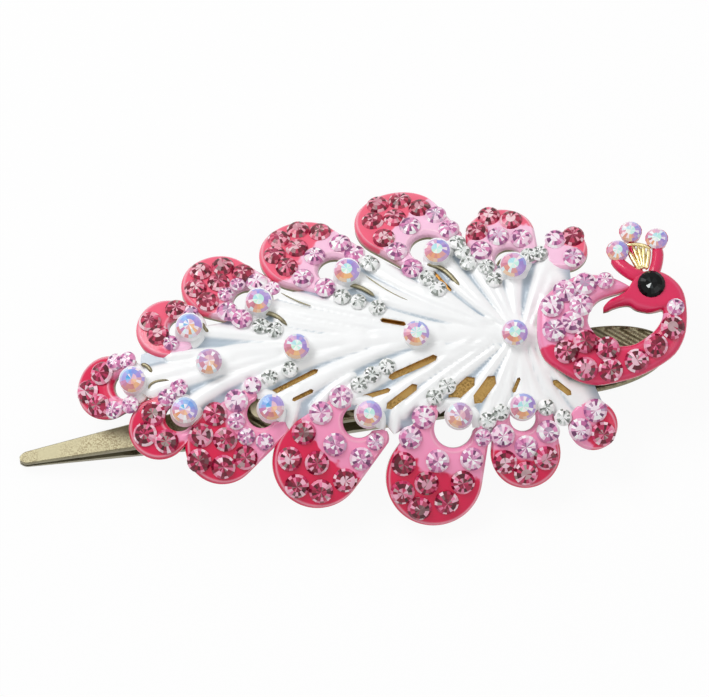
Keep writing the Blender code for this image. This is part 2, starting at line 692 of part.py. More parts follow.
def wall_share(x):
    """Share of the full wall depth: none at the prong's end and on the thumb tab."""
    from_prong = (x - PRONG_X) / (FLARE_LENGTH / 2)
    from_tab = (HINGE_X + WALL_END - x) / WALL_FADE
    return max(0.0, min(1.0, from_prong, from_tab))


def channel(x, half_width, outer, edge):
    """Section of bent sheet: a flat at the outer height with a wall on each side to the edge height."""
    inner = outer + math.copysign(SHEET, edge - outer)
    inside = max(half_width - SHEET, LEAST_INSIDE)
    half = [(half_width, edge), (half_width, outer)]
    other = [(inside, inner), (inside, edge)]
    ring = half + [(-y, z) for y, z in reversed(half)] + [(-y, z) for y, z in reversed(other)] + other
    return [(x, y, z) for y, z in ring]


def stations(end, spacing):
    """Places along a jaw from the prong to a tab's end."""
    count = round((end - PRONG_X) / spacing)
    return [PRONG_X + (end - PRONG_X) * i / count for i in range(count + 1)]


def ear(inner, low, high, to_top):
    """Hinge ear on one side: a round end about the pin and a straight shank."""
    pin = Vector((HINGE_X, HINGE_Z))
    if to_top:
        outline = circle(pin, EAR_RADIUS, EAR_SIDES, math.pi, math.pi)
        outline += [(HINGE_X + EAR_RADIUS, high), (HINGE_X - EAR_RADIUS, high)]
    else:
        outline = circle(pin, EAR_RADIUS, EAR_SIDES, 0, math.pi)
        outline += [(HINGE_X - EAR_RADIUS, low), (HINGE_X + EAR_RADIUS, low)]
    mesh = plate([outline], inner, inner + EAR_THICKNESS)
    mesh.transform(Matrix.Rotation(math.pi / 2, 4, "X"))
    return mesh


def drilled_jaw(mesh, inner, low, high, to_top):
    """Jaw with an ear on each side and the pin's hole through both."""
    ears = [ear(inner, low, high, to_top), ear(-inner - EAR_THICKNESS, low, high, to_top)]
    drill = frustum((0, 0), PIN_RADIUS + PIN_CLEARANCE, PIN_RADIUS + PIN_CLEARANCE, -TAB_HALF_WIDTH * 2,
                    TAB_HALF_WIDTH * 2, ROUND_SIDES)
    drill.transform(Matrix.Translation((HINGE_X, 0, HINGE_Z)) @ Matrix.Rotation(math.pi / 2, 4, "X"))
    return combined(combined(mesh, ears), [drill], "DIFFERENCE")


def upper_jaw():
    """Arched channel, open below, that ends in the leaf-shaped thumb tab."""
    sections = []
    for x in stations(TAB_X, UPPER_SPACING):
        top = jaw_top(x)
        depth = SHEET + EDGE_LIP + (SKIRT_DEPTH - SHEET - EDGE_LIP) * wall_share(x)
        sections.append(channel(x, jaw_half_width(x, TAB_X), top, top - depth))
    inner = TAB_HALF_WIDTH - EAR_THICKNESS - EAR_INSET
    return drilled_jaw(loft(sections), inner, HINGE_Z, HINGE_TOP - SHEET / 2, True)


def lower_jaw_half_width(x):
    """Half width of the lower jaw, which passes between the ears of the upper one."""
    narrow = TAB_HALF_WIDTH - EAR_THICKNESS - EAR_CLEARANCE
    if x > HINGE_X + EAR_REACH:
        return jaw_half_width(x, LOWER_TAB_X)
    return min(narrow, jaw_half_width(x, LOWER_TAB_X))


def lower_jaw():
    """Flat channel, open above, with toothed walls and its own thumb tab."""
    last_tooth = TOOTH_FROM + TOOTH_COUNT * TOOTH_PITCH
    sections = []
    for x in stations(LOWER_TAB_X, TOOTH_PITCH / 2):
        height = SHEET + EDGE_LIP + (WALL_HEIGHT - SHEET - EDGE_LIP) * wall_share(x)
        if TOOTH_FROM <= x <= last_tooth and round((x - TOOTH_FROM) / (TOOTH_PITCH / 2)) % 2:
            height -= TOOTH_DEPTH
        sections.append(channel(x, lower_jaw_half_width(x), 0, height))
    inner = TAB_HALF_WIDTH - 2 * EAR_THICKNESS - EAR_CLEARANCE - EAR_INSET
    return drilled_jaw(loft(sections), inner, SHEET / 2, HINGE_Z, False)


def hinge_pin():
    """Headed pin, turned about the hinge's axis."""
    half = TAB_HALF_WIDTH + EAR_CLEARANCE / 2 + PIN_HEAD_LENGTH
    neck = half - PIN_HEAD_LENGTH
    profile = [(0, half), (PIN_HEAD_RADIUS, half), (PIN_HEAD_RADIUS, neck), (PIN_RADIUS, neck),
               (PIN_RADIUS, -neck), (PIN_HEAD_RADIUS, -neck), (PIN_HEAD_RADIUS, -half), (0, -half)]
    mesh = bpy.data.meshes.new("pin")
    mesh.from_pydata([(r, 0, z) for r, z in profile], [(i, i + 1) for i in range(len(profile) - 1)], [])
    thing = bpy.data.objects.new("pin", mesh)
    bpy.context.scene.collection.objects.link(thing)
    screw = thing.modifiers.new("turn", "SCREW")
    screw.steps = screw.render_steps = ROUND_SIDES
    screw.use_merge_vertices = True
    screw.merge_threshold = WELD
    mesh = take_welded_mesh(thing)
    mesh.transform(Matrix.Translation((HINGE_X, 0, HINGE_Z)) @ Matrix.Rotation(math.pi / 2, 4, "X"))
    return mesh


def spring_points():
    """Middle line of the spring: a leg on the upper tab, the coil, and a leg on the lower tab."""
    count = COIL_TURNS * COIL_POINTS + COIL_POINTS // 2
    half = count / COIL_POINTS * COIL_PITCH / 2
    points = []
    for i in range(count + 1):
        turn = 2 * math.pi * i / COIL_POINTS
        side = -half + 2 * half * i / count
        points.append(Vector((HINGE_X - COIL_RADIUS * math.sin(turn), side,
                              HINGE_Z + COIL_RADIUS * math.cos(turn))))
    reach = HINGE_X + LEG_LENGTH
    under_tab = jaw_top(reach) - SHEET - WIRE_RADIUS - LEG_CLEARANCE - EDGE_LIP
    on_floor = SHEET + WIRE_RADIUS + LEG_CLEARANCE
    first = Vector((reach, -half, under_tab))
    last = Vector((reach, half, on_floor))
    lead = Vector((HINGE_X + COIL_RADIUS, half, HINGE_Z - COIL_RADIUS))
    lead.z = (lead.z * 2 + on_floor) / 3
    return [first] + points + [lead, last]


def spring_gap(points):
    """Least gap between turns of the wire, measured between its points."""
    near = COIL_POINTS // 2
    apart = [(one - other).length for i, one in enumerate(points) for other in points[i + near:]]
    return min(apart) - 2 * WIRE_RADIUS


def torsion_spring():
    """Coil of round wire with two legs, one unbroken tube."""
    points = spring_points()
    print("spring gap to itself %.2f mm" % (spring_gap(points) / MM))
    data = bpy.data.curves.new("spring", "CURVE")
    data.dimensions = "3D"
    data.bevel_depth = WIRE_RADIUS
    data.bevel_resolution = 1
    data.use_fill_caps = True
    spline = data.splines.new("POLY")
    spline.points.add(len(points) - 1)
    for knot, place in zip(spline.points, points):
        knot.co = (*place, 1)
    thing = bpy.data.objects.new("spring", data)
    bpy.context.scene.collection.objects.link(thing)
    mesh = take_welded_mesh(thing)
    bpy.data.curves.remove(data)
    return mesh


def solder_joint(x):
    """Pad of solder between the upper jaw and the underside of the tail."""
    reach = SOLDER_RADIUS
    sides = (-reach, 0, reach)
    under = min(formed(x + i, j - SPINE_OFFSET, 0).z for i in sides for j in sides)
    over = max(jaw_top(x + i) for i in sides)
    low, high = over + SEAT_GAP, under - SEAT_GAP
    return frustum((x, 0), SOLDER_RADIUS, SOLDER_RADIUS * SOLDER_TAPER, low, high, SOLDER_SIDES)


def main():
    shop = Workshop()
    shop.material("white_enamel", (0.88, 0.9, 0.92), 0.2, 0.0)
    shop.material("pink_enamel", (0.7, 0.05, 0.14), 0.2, 0.0)
    shop.material("pink_stone", (0.6, 0.06, 0.16), 0.1, 0.3)
    shop.material("iridescent_stone", (0.75, 0.7, 0.85), 0.1, 0.5)
    shop.material("clear_stone", (0.85, 0.87, 0.88), 0.1, 0.4)
    shop.material("black_stone", (0.01, 0.01, 0.01), 0.1, 0.0)
    shop.material("pale_gold", (0.72, 0.65, 0.45), 0.35, 1.0)
    shop.material("spring_steel", (0.6, 0.6, 0.6), 0.3, 1.0)
    shop.material("solder", (0.5, 0.5, 0.5), 0.5, 1.0)

    shop.add("lower_jaw", lower_jaw(), "pale_gold", moves=False)
    shop.add("hinge_pin", hinge_pin(), "spring_steel", moves=False)
    shop.add("torsion_spring", torsion_spring(), "spring_steel", moves=False)
    shop.add("upper_jaw", upper_jaw(), "pale_gold")
    shop.add("solder_joint_front", solder_joint(SOLDER_FRONT_X), "solder")
    shop.add("solder_joint_rear", solder_joint(SOLDER_REAR_X), "solder")
    shop.add("tail_fan", tail_fan(), "white_enamel")
    shop.add("bird_body", bird_body(), "pink_enamel")
    for number, feather in enumerate(FEATHERS, 1):
        shop.add("feather_%02d_pave" % number, feather_pave(feather), "pink_stone")
    bird_floor = BIRD_TOP + SEAT_GAP
    shop.add("bird_pave", bird_pave(), "pink_stone")
    for number, pixel in enumerate(big_stone_places(), 1):
        stone = single_stone(pixel, AB_DIAMETER, POST_HEIGHT + SEAT_GAP, AB_SIDES)
        shop.add("ab_stone_%02d" % number, stone, "iridescent_stone")
    for number, pixel in enumerate(CROWN_STONES, 1):
        stone = single_stone(pixel, CROWN_DIAMETER, POST_HEIGHT + SEAT_GAP, AB_SIDES)
        shop.add("crown_stone_%d" % number, stone, "iridescent_stone")
    shop.add("eye_stone", single_stone(EYE_STONE, EYE_DIAMETER, bird_floor, AB_SIDES), "black_stone")
    for number, row in enumerate(CLEAR_ROWS, 1):
        shop.add("clear_row_%02d" % number, clear_row(row), "clear_stone")


main()
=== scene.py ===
"""Dressed hair clip: a domed peacock ornament of enamel and cut stones on a sprung beak clip.

Every piece is modelled in the row frame, in metres, and rides on the base or on the ornament.
"""

import logging
import math
import random
from dataclasses import dataclass, field
from enum import Enum
from typing import Union

import bmesh
import bpy
import numpy as np
from mathutils import Matrix, Vector


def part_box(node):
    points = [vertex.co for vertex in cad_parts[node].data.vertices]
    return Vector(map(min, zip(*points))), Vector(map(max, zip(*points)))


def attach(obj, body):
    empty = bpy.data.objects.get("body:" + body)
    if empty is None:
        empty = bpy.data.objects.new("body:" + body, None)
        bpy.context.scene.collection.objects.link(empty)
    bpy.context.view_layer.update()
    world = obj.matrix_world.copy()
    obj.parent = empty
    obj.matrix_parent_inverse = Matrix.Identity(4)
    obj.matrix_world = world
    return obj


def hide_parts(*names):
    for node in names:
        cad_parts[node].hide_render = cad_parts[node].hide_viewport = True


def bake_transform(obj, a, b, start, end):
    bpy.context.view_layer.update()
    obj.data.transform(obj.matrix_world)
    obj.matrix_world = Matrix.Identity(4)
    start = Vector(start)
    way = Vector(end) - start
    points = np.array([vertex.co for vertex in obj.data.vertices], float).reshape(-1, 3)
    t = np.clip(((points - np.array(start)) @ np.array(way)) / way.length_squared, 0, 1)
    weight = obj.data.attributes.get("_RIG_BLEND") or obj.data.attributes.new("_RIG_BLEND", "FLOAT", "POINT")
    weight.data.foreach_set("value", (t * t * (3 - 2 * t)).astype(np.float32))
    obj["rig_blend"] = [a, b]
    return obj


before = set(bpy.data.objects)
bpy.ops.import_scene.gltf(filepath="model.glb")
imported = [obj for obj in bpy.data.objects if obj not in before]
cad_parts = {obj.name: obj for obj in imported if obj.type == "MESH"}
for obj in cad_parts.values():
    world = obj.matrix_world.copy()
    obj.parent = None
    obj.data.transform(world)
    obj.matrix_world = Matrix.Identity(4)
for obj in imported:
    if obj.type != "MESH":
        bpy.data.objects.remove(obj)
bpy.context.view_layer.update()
MM = 0.001
TINY = 1e-9
LOG = logging.getLogger("hair_clip")
Pixel = tuple[float, float]
Profile = tuple[tuple[float, float], ...]
Rings = list[list[Vector]]
Pairs = list[tuple[Vector, Vector]]
Thing = bpy.types.Object
Material = bpy.types.Material
Socket = bpy.types.NodeSocket
Feed = Union[Socket, float, str, tuple]


class Body(str, Enum):
    """Rigid bodies of the clip."""

    BASE = "base"
    ORNAMENT = "ornament"


class Slot(str, Enum):
    """Material slots of the record."""

    WHITE = "white_enamel"
    PINK = "pink_enamel"
    PINK_STONE = "pink_stone"
    IRIDESCENT = "iridescent_stone"
    CLEAR = "clear_stone"
    BLACK = "black_stone"
    GOLD = "pale_gold"
    STEEL = "spring_steel"
    SOLDER = "solder"


def linear(code: str) -> tuple[float, float, float, float]:
    """Linear colour of a six-digit display code.

    Args:
        code: Display colour as six hexadecimal digits.

    Returns:
        Red, green, blue and an alpha of one.
    """
    shares = [int(code[i:i + 2], 16) / 255 for i in (0, 2, 4)]
    red, green, blue = [s / 12.92 if s <= 0.04045 else ((s + 0.055) / 1.055) ** 2.4 for s in shares]
    return red, green, blue, 1.0


def rows_of(text: str, mark: str = ";") -> list[list[float]]:
    """Rows of numbers in a text, split at a mark."""
    return [[float(value) for value in row.split()] for row in text.split(mark)]


def mm(x: float, y: float, z: float) -> Vector:
    """Place in metres from millimetres."""
    return Vector((x * MM, y * MM, z * MM))


def turns(count: int) -> list[float]:
    """Angles spread evenly over a whole turn."""
    return [2 * math.pi * i / count for i in range(count)]


def square(way: Vector) -> Vector:
    """Direction to the left of a way in the flat layout."""
    return Vector((-way.y, way.x))


def round_ring(seat: Matrix, radius: float, sides: int) -> list[Vector]:
    """Circle in the first two axes of a seat."""
    return [seat @ (radius * Vector((math.cos(turn), math.sin(turn), 0))) for turn in turns(sides)]


def curve(start: Vector, bend: Vector, end: Vector, share: float) -> Vector:
    """Place at a share of the curve from a start to an end that leans to a bend."""
    return start * (1 - share) ** 2 + bend * 2 * share * (1 - share) + end * share * share


@dataclass(frozen=True)
class Layout:
    """Flat layout of the ornament, the dome it is formed over, and the picture it was read from."""

    pixel: float = 0.156 * MM
    origin: Pixel = (337.0, 413.6)
    centre: Pixel = (354.5, 348.5)
    turn: float = math.radians(-9.1)
    rise: float = math.radians(74.0)
    dome: float = 42.0 * MM
    droop_start: float = -24.0 * MM
    droop: float = 26.0 * MM
    spine_height: float = 10.6 * MM
    spine_offset: float = 5.5 * MM
    rounds: int = 20
    flat_step: float = 0.01 * MM
    seat_step: float = 0.05 * MM

    def axes(self) -> tuple[Vector, Vector]:
        """Right and up of the picture, as directions of the row frame.

        Returns:
            The two directions.
        """
        ahead = Vector((-math.sin(self.turn), math.cos(self.turn), 0))
        up = ahead * math.sin(self.rise) + Vector((0, 0, math.cos(self.rise)))
        return Vector((math.cos(self.turn), math.sin(self.turn), 0)), up

    def formed(self, x: float, y: float, lift: float) -> Vector:
        """Place on the dome of a point of the flat layout.

        Args:
            x: Place along the clip.
            y: Place across the clip, along the sheet.
            lift: Height above the underside of the casting.

        Returns:
            The place in the row frame.
        """
        across = y / self.dome
        side = (self.dome + lift) * math.sin(across)
        height = (self.dome + lift) * math.cos(across) - self.dome
        if x < self.droop_start:
            along = (self.droop_start - x) / self.droop
            x = self.droop_start - (self.droop + height) * math.sin(along)
            height = (self.droop + height) * math.cos(along) - self.droop
        return Vector((x, side + self.spine_offset, height + self.spine_height))

    def picture(self, point: Vector) -> Vector:
        """Pixel at which a place shows."""
        right, up = [point.dot(axis) / self.pixel for axis in self.axes()]
        return Vector((self.origin[0] + right, self.origin[1] - up))

    def flat(self, pixel: Pixel, lift: float) -> Vector:
        """Point of the flat layout that shows at a pixel.

        Args:
            pixel: Column and row in the picture.
            lift: Height above the underside of the casting.

        Returns:
            Place along and across, found by Newton steps.
        """
        x, y, step = 0.0, 0.0, self.flat_step
        for _ in range(self.rounds):
            here = self.picture(self.formed(x, y, lift))
            by_x = (self.picture(self.formed(x + step, y, lift)) - here) / step
            by_y = (self.picture(self.formed(x, y + step, lift)) - here) / step
            miss = Vector(pixel) - here
            scale = by_x.x * by_y.y - by_x.y * by_y.x
            x += (miss.x * by_y.y - miss.y * by_y.x) / scale
            y += (by_x.x * miss.y - by_x.y * miss.x) / scale
        return Vector((x, y))

    def seat(self, place: Vector, lift: float, lean: float = 0.0) -> Matrix:
        """Frame on the dome, with its third axis square to the surface or leaning to the picture.

        Args:
            place: Point of the flat layout.
            lift: Height above the underside of the casting.
            lean: Share of the way from square to the surface to square to the picture.

        Returns:
            Matrix from the seat's own frame to the row frame.
        """
        step = self.seat_step
        here = self.formed(place.x, place.y, lift)
        along = (self.formed(place.x + step, place.y, lift) - here).normalized()
        across = (self.formed(place.x, place.y + step, lift) - here).normalized()
        right, up = self.axes()
        out = along.cross(across).normalized().lerp(right.cross(up), lean).normalized()
        side = out.cross(along).normalized()
        turned = Matrix((side.cross(out), side, out)).transposed().to_4x4()
        return Matrix.Translation(here) @ turned


@dataclass(frozen=True)
class Lifts:
    """Heights above the underside of the casting that several pieces share."""

    web: float = 1.2 * MM
    bed: float = 2.01 * MM
    post: float = 2.9 * MM
    big_foot: float = 3.15 * MM
    bird_floor: float = 1.51 * MM
    bird_layout: float = bird_floor + 1.9 * MM
    bird_bed: float = 4.16 * MM
    bird_stones: float = bird_bed - 0.1 * MM


LAYOUT = Layout()
LIFTS = Lifts()
DEEP_TINT = 6.0
BIG_LEAN = 0.3


class Bench:
    """Modelling bench: each mesh starts as a circle and grows by edit-mode operators."""

    @staticmethod
    def pick(*things: Thing) -> None:
        """Selects pieces.

        Args:
            things: Pieces; the first one becomes active.
        """
        bpy.ops.object.select_all(action="DESELECT")
        for thing in things:
            thing.select_set(True)
        bpy.context.view_layer.objects.active = things[0]

    @staticmethod
    def loft(name: str, rings: Rings) -> Thing:
        """Skin through closed rings, extruded one after another, with a face at both ends.

        Args:
            name: Name of the piece.
            rings: Rings with the same number of places.

        Returns:
            The piece; its vertices keep their ring and their place in it.
        """
        bpy.ops.object.select_all(action="DESELECT")
        bpy.ops.mesh.primitive_circle_add(vertices=len(rings[0]), radius=MM)
        thing = bpy.context.object
        thing.name = thing.data.name = name
        bpy.ops.object.mode_set(mode="EDIT")
        work = bmesh.from_edit_mesh(thing.data)
        order = work.verts.layers.int.new("order")
        work.verts.layers.int.new("level")
        for number, corner in enumerate(work.verts):
            corner[order] = number
        for number, ring in enumerate(rings):
            if number:
                bpy.ops.mesh.extrude_edges_indiv()
            Bench.place(thing, ring, number)
        for number in (0, len(rings) - 1):
            Bench.select_level(thing, number)
            bpy.ops.mesh.edge_face_add()
        bpy.ops.mesh.select_all(action="SELECT")
        bpy.ops.mesh.normals_make_consistent(inside=False)
        bpy.ops.object.mode_set(mode="OBJECT")
        return thing

    @staticmethod
    def place(thing: Thing, ring: list[Vector], number: int) -> None:
        """Moves the selected ring to its places.

        Args:
            thing: Piece in edit mode.
            ring: Places, by order in the ring.
            number: Number of the ring.
        """
        work = bmesh.from_edit_mesh(thing.data)
        order, level = [work.verts.layers.int[name] for name in ("order", "level")]
        for corner in work.verts:
            if corner.select:
                corner.co = ring[corner[order]]
                corner[level] = number
        bmesh.update_edit_mesh(thing.data)

    @staticmethod
    def select_level(thing: Thing, number: int) -> None:
        """Selects one ring of a piece in edit mode.

        Args:
            thing: Piece in edit mode.
            number: Number of the ring.
        """
        bpy.ops.mesh.select_all(action="DESELECT")
        work = bmesh.from_edit_mesh(thing.data)
        level = work.verts.layers.int["level"]
        for corner in work.verts:
            corner.select = corner[level] == number
        work.select_flush(True)
        bmesh.update_edit_mesh(thing.data)

    @staticmethod
    def note(thing: Thing, name: str, values: list[list[float]]) -> None:
        """Writes a value for each ring place as a point attribute.

        Args:
            thing: Lofted piece.
            name: Name of the attribute.
            values: Values by ring and by order in the ring.
        """
        marks = thing.data.attributes
        levels, orders = [[item.value for item in marks[m].data] for m in ("level", "order")]
        layer = marks.new(name, "FLOAT", "POINT")
        layer.data.foreach_set("value", [values[i][k] for i, k in zip(levels, orders)])

    @staticmethod
    def fill(thing: Thing, **marks: float) -> None:
        """Gives all points of a piece the same values.

        Args:
            thing: Piece.
            marks: Value of each point attribute, by its name.
        """
        for name, value in marks.items():
            layer = thing.data.attributes.new(name, "FLOAT", "POINT")
            layer.data.foreach_set("value", [value] * len(thing.data.vertices))

    @staticmethod
    def strip(thing: Thing) -> None:
        """Takes off the marks of the loft.

        Args:
            thing: Piece; it may have none.
        """
        for name in ("order", "level"):
            if name in thing.data.attributes:
                thing.data.attributes.remove(thing.data.attributes[name])

    @staticmethod
    def gild(thing: Thing, first: int, last: int) -> None:
        """Gives the second finish to the faces between two places of the rings.

        Args:
            thing: Lofted piece.
            first: First order of the second finish.
            last: Last order of the second finish.
        """
        orders = thing.data.attributes["order"].data
        for face in thing.data.polygons:
            found = [orders[i].value for i in face.vertices]
            face.material_index = int(min(found) >= first and max(found) <= last)

    @staticmethod
    def joined(name: str, things: list[Thing]) -> Thing:
        """One piece from several.

        Args:
            name: Name of the piece.
            things: Pieces to join; the first takes in the others.

        Returns:
            The joined piece.
        """
        Bench.pick(*things)
        if len(things) > 1:
            bpy.ops.object.join()
        things[0].name = things[0].data.name = name
        return things[0]

    @staticmethod
    def smooth(thing: Thing, degrees: float) -> Thing:
        """Shades a piece smooth, except over sharp edges.

        Args:
            thing: Piece.
            degrees: Angle beyond which an edge is sharp.

        Returns:
            The piece.
        """
        Bench.pick(thing)
        bpy.ops.object.shade_smooth_by_angle(angle=math.radians(degrees))
        return thing

    @staticmethod
    def hand_over(thing: Thing, slot: Slot, finishes: list[Material], *nodes: str,
                  body: Body = Body.ORNAMENT) -> None:
        """Dresses a piece and puts it on its body.

        Args:
            thing: Finished piece.
            slot: Material slot of the record; not used.
            finishes: Materials of the piece.
            nodes: CAD nodes that it stands for.
            body: Body that it rides on.
        """
        Bench.strip(thing)
        kept = [face.material_index for face in thing.data.polygons]
        thing.data.materials.clear()
        for finish in finishes:
            thing.data.materials.append(finish)
        thing.data.polygons.foreach_set("material_index", kept)
        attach(thing, body.value)
        if nodes:
            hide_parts(*nodes)
        LOG.info("%s: %d faces on %s", thing.name, len(thing.data.polygons), body.value)


class Shade:
    """Small maker of shader nodes for one material or world."""

    def __init__(self, owner: bpy.types.ID) -> None:
        """Starts on the nodes of a new material or world."""
        owner.use_nodes = True
        self.owner, self.tree = owner, owner.node_tree

    @classmethod
    def material(cls, name: str) -> "Shade":
        """Maker for a new material with a Principled shader."""
        return cls(bpy.data.materials.new(name))

    def feed(self, socket: Socket, value: Feed) -> None:
        """Links a socket to another one, or sets its value.

        Args:
            socket: Socket to feed.
            value: Socket, number, colour or six-digit display code.
        """
        if isinstance(value, Socket):
            self.tree.links.new(value, socket)
        else:
            socket.default_value = linear(value) if isinstance(value, str) else value

    def node(self, kind: str, feeds: dict[str | int, Feed], **values: object) -> bpy.types.Node:
        """Adds a node.

        Args:
            kind: Node type.
            feeds: What feeds its sockets.
            values: Properties of the node.

        Returns:
            The node.
        """
        made = self.tree.nodes.new(kind)
        for name, value in values.items():
            setattr(made, name, value)
        for name, value in feeds.items():
            self.feed(made.inputs[name], value)
        return made

    def attribute(self, name: str, output: str = "Fac") -> Socket:
        """Value or colour of an attribute of the piece."""
        return self.node("ShaderNodeAttribute", {}, attribute_name=name).outputs[output]

    def spread(self, value: Socket, low: float, high: float) -> Socket:
        """Range of a value, spread over nought to one."""
        feeds = {"Value": value, "From Min": low, "From Max": high}
        return self.node("ShaderNodeMapRange", feeds, interpolation_type="SMOOTHSTEP").outputs[0]

    def maths(self, operation: str, *values: Feed) -> Socket:
        """Result of an operation on sockets and numbers."""
        return self.node("ShaderNodeMath", dict(enumerate(values)), operation=operation).outputs[0]

    def mixed(self, share: Socket, one: Feed, other: Feed, blend: str = "MIX") -> Socket:
        """Colour between two colours by the share of the other one."""
        feeds = {"Factor": share, 6: one, 7: other}
        return self.node("ShaderNodeMix", feeds, data_type="RGBA", blend_type=blend).outputs[2]

    def grain(self, scales: tuple[float, float]) -> list[Socket]:
        """Height and blotch mask of the shared grain, by its fine and soft scales per metre."""
        feeds = dict(zip(("Fine", "Blotch"), scales))
        return list(self.node("ShaderNodeGroup", feeds, node_tree=GrainGroup.tree()).outputs)

    def bump(self, height: Socket, distance: float, strength: float) -> Socket:
        """Normal of a surface that a height raises."""
        feeds = {"Height": height, "Distance": distance, "Strength": strength}
        return self.node("ShaderNodeBump", feeds).outputs["Normal"]

    def seen(self) -> Socket:
        """One for rays of the camera, of reflections and through glass.

        Returns:
            Socket of the value.
        """
        path = self.node("ShaderNodeLightPath", {}).outputs
        seen = self.maths("MAXIMUM", path["Is Camera Ray"], path["Is Glossy Ray"])
        return self.maths("MAXIMUM", seen, path["Is Transmission Ray"])

    def surface(self, **values: Feed) -> Material:
        """Feeds sockets of the material's shader.

        Args:
            values: What feeds each socket; a name's underscores stand for spaces.

        Returns:
            The material.
        """
        for name, value in values.items():
            label = name.replace("_", " ").title().replace("Ior", "IOR")
            self.feed(self.tree.nodes["Principled BSDF"].inputs[label], value)
        return self.owner


class GrainGroup:
    """Shared surface grain of castings and enamel, on Object coordinates."""

    NAME = "surface_grain"
    PATHS = (("Fine", "Height", 3.0), ("Blotch", "Mask", 2.0))

    @classmethod
    def tree(cls) -> bpy.types.NodeTree:
        """Builds the group at its first use.

        Returns:
            The group.
        """
        if cls.NAME in bpy.data.node_groups:
            return bpy.data.node_groups[cls.NAME]
        tree = bpy.data.node_groups.new(cls.NAME, "ShaderNodeTree")
        for scale, result, _ in cls.PATHS:
            for name, way in ((scale, "INPUT"), (result, "OUTPUT")):
                tree.interface.new_socket(name=name, in_out=way, socket_type="NodeSocketFloat")
        source, target, where = [tree.nodes.new(kind) for kind in (
            "NodeGroupInput", "NodeGroupOutput", "ShaderNodeTexCoord")]
        for scale, result, detail in cls.PATHS:
            noise = tree.nodes.new("ShaderNodeTexNoise")
            noise.inputs["Detail"].default_value = detail
            tree.links.new(where.outputs["Object"], noise.inputs["Vector"])
            tree.links.new(source.outputs[scale], noise.inputs["Scale"])
            tree.links.new(noise.outputs["Fac"], target.inputs[result])
        return tree


@dataclass(frozen=True)
class WhiteEnamel:
    """Glossy white enamel with painted shade, a blue-grey, in its grooves."""

    crest: str = "fbfcfc"
    # Painted shade: the groove colour is a blue-grey that stands in for the shade in the valleys between
    # ribs.
    groove_shade: str = "aebcc8"
    scales: tuple[float, float] = (900.0, 160.0)
    groove_shade_end: float = 0.6
    blotch: tuple[float, float] = (0.25, -0.12)
    bump: tuple[float, float] = (0.05 * MM, 0.25)

    def make(self) -> Material:
        """Makes the material, which reads the crest attribute; low crests take the painted groove shade.

        Returns:
            The material.
        """
        shade = Shade.material("white_enamel")
        height, mask = shade.grain(self.scales)
        # Low crests, the valleys between the ribs, take the painted groove shade.
        share = shade.spread(shade.attribute("crest"), 0.0, self.groove_shade_end)
        share = shade.maths("ADD", share, shade.maths("MULTIPLY_ADD", mask, *self.blotch))
        return shade.surface(base_color=shade.mixed(share, self.groove_shade, self.crest), roughness=0.28,
                             coat_weight=0.35, coat_roughness=0.08,
                             normal=shade.bump(height, *self.bump))


@dataclass(frozen=True)
class PinkEnamel:
    """Enamel that turns from a pale tint by the eye to a deep one at the feather's end, with a painted
    highlight along its rim.
    """

    name: str
    pale: str
    deep: str
    rim: str
    rim_highlight_share: float = 0.7
    scales: tuple[float, float] = (1100.0, 420.0)
    wave: tuple[float, float] = (4.4, -2.2)
    blend: float = 0.35
    bump: tuple[float, float] = (0.04 * MM, 0.25)

    def make(self) -> Material:
        """Makes the material, which reads the tint attribute and the rim's painted highlight attribute.

        Returns:
            The material.
        """
        shade = Shade.material(self.name)
        height, mask = shade.grain(self.scales)
        wave = shade.maths("MULTIPLY_ADD", mask, *self.wave)
        edge = shade.maths("ADD", shade.attribute("tint"), wave)
        colour = shade.mixed(shade.spread(edge, -self.blend, self.blend), self.pale, self.deep)
        # Painted highlight: the rim colour is mixed in along the raised rim, where the lamp's highlight
        # runs.
        rim = shade.maths("MULTIPLY", shade.attribute("rim"), self.rim_highlight_share)
        return shade.surface(base_color=shade.mixed(rim, colour, self.rim), roughness=0.2,
                             coat_weight=0.3, coat_roughness=0.04, ior=1.36,
                             normal=shade.bump(height, *self.bump))


@dataclass(frozen=True)
class Metal:
    """Plated or bare metal with pits and tarnish."""

    name: str
    bright: str
    dull: str
    roughness: float
    fine: float
    pit: float
    blotch: float = 260.0
    pitted: tuple[float, float] = (0.38, 0.6)
    worn: tuple[float, float] = (0.35, 0.65)
    rough_range: float = 0.2
    strength: float = 0.6

    def make(self) -> Material:
        """Makes the material.

        Returns:
            The material.
        """
        shade = Shade.material(self.name)
        height, mask = shade.grain((self.fine, self.blotch))
        tone = shade.mixed(shade.spread(height, *self.pitted), self.dull, self.bright)
        tone = shade.mixed(shade.spread(mask, *self.worn), tone, self.bright)
        smoothest = self.roughness - self.rough_range / 2
        rough = shade.maths("MULTIPLY_ADD", mask, self.rough_range, smoothest)
        return shade.surface(base_color=tone, roughness=rough, metallic=1.0,
                             normal=shade.bump(height, self.pit, self.strength))


@dataclass(frozen=True)
class StoneFinish:
    """Polished cut glass; each facet has its own colour, which paints the light and shade of refraction and
    reflection.
    """

    name: str
    roughness: float = 0.06
    ior: float = 1.4
    coat: float = 0.15
    scales: tuple[float, float] = (2600.0, 900.0)
    depths: tuple[float, float] = (0.75, 0.3)
    depth_share: float = 0.35

    def make(self) -> Material:
        """Makes the material, which reads the facet attribute.

        Returns:
            The material.
        """
        shade = Shade.material(self.name)
        _, mask = shade.grain(self.scales)
        tone = shade.attribute("facet", "Color")
        share = shade.maths("MULTIPLY", shade.spread(mask, *self.depths), self.depth_share)
        return shade.surface(base_color=shade.mixed(share, tone, tone, "MULTIPLY"), ior=self.ior,
                             roughness=self.roughness, coat_weight=self.coat, coat_roughness=0.02)


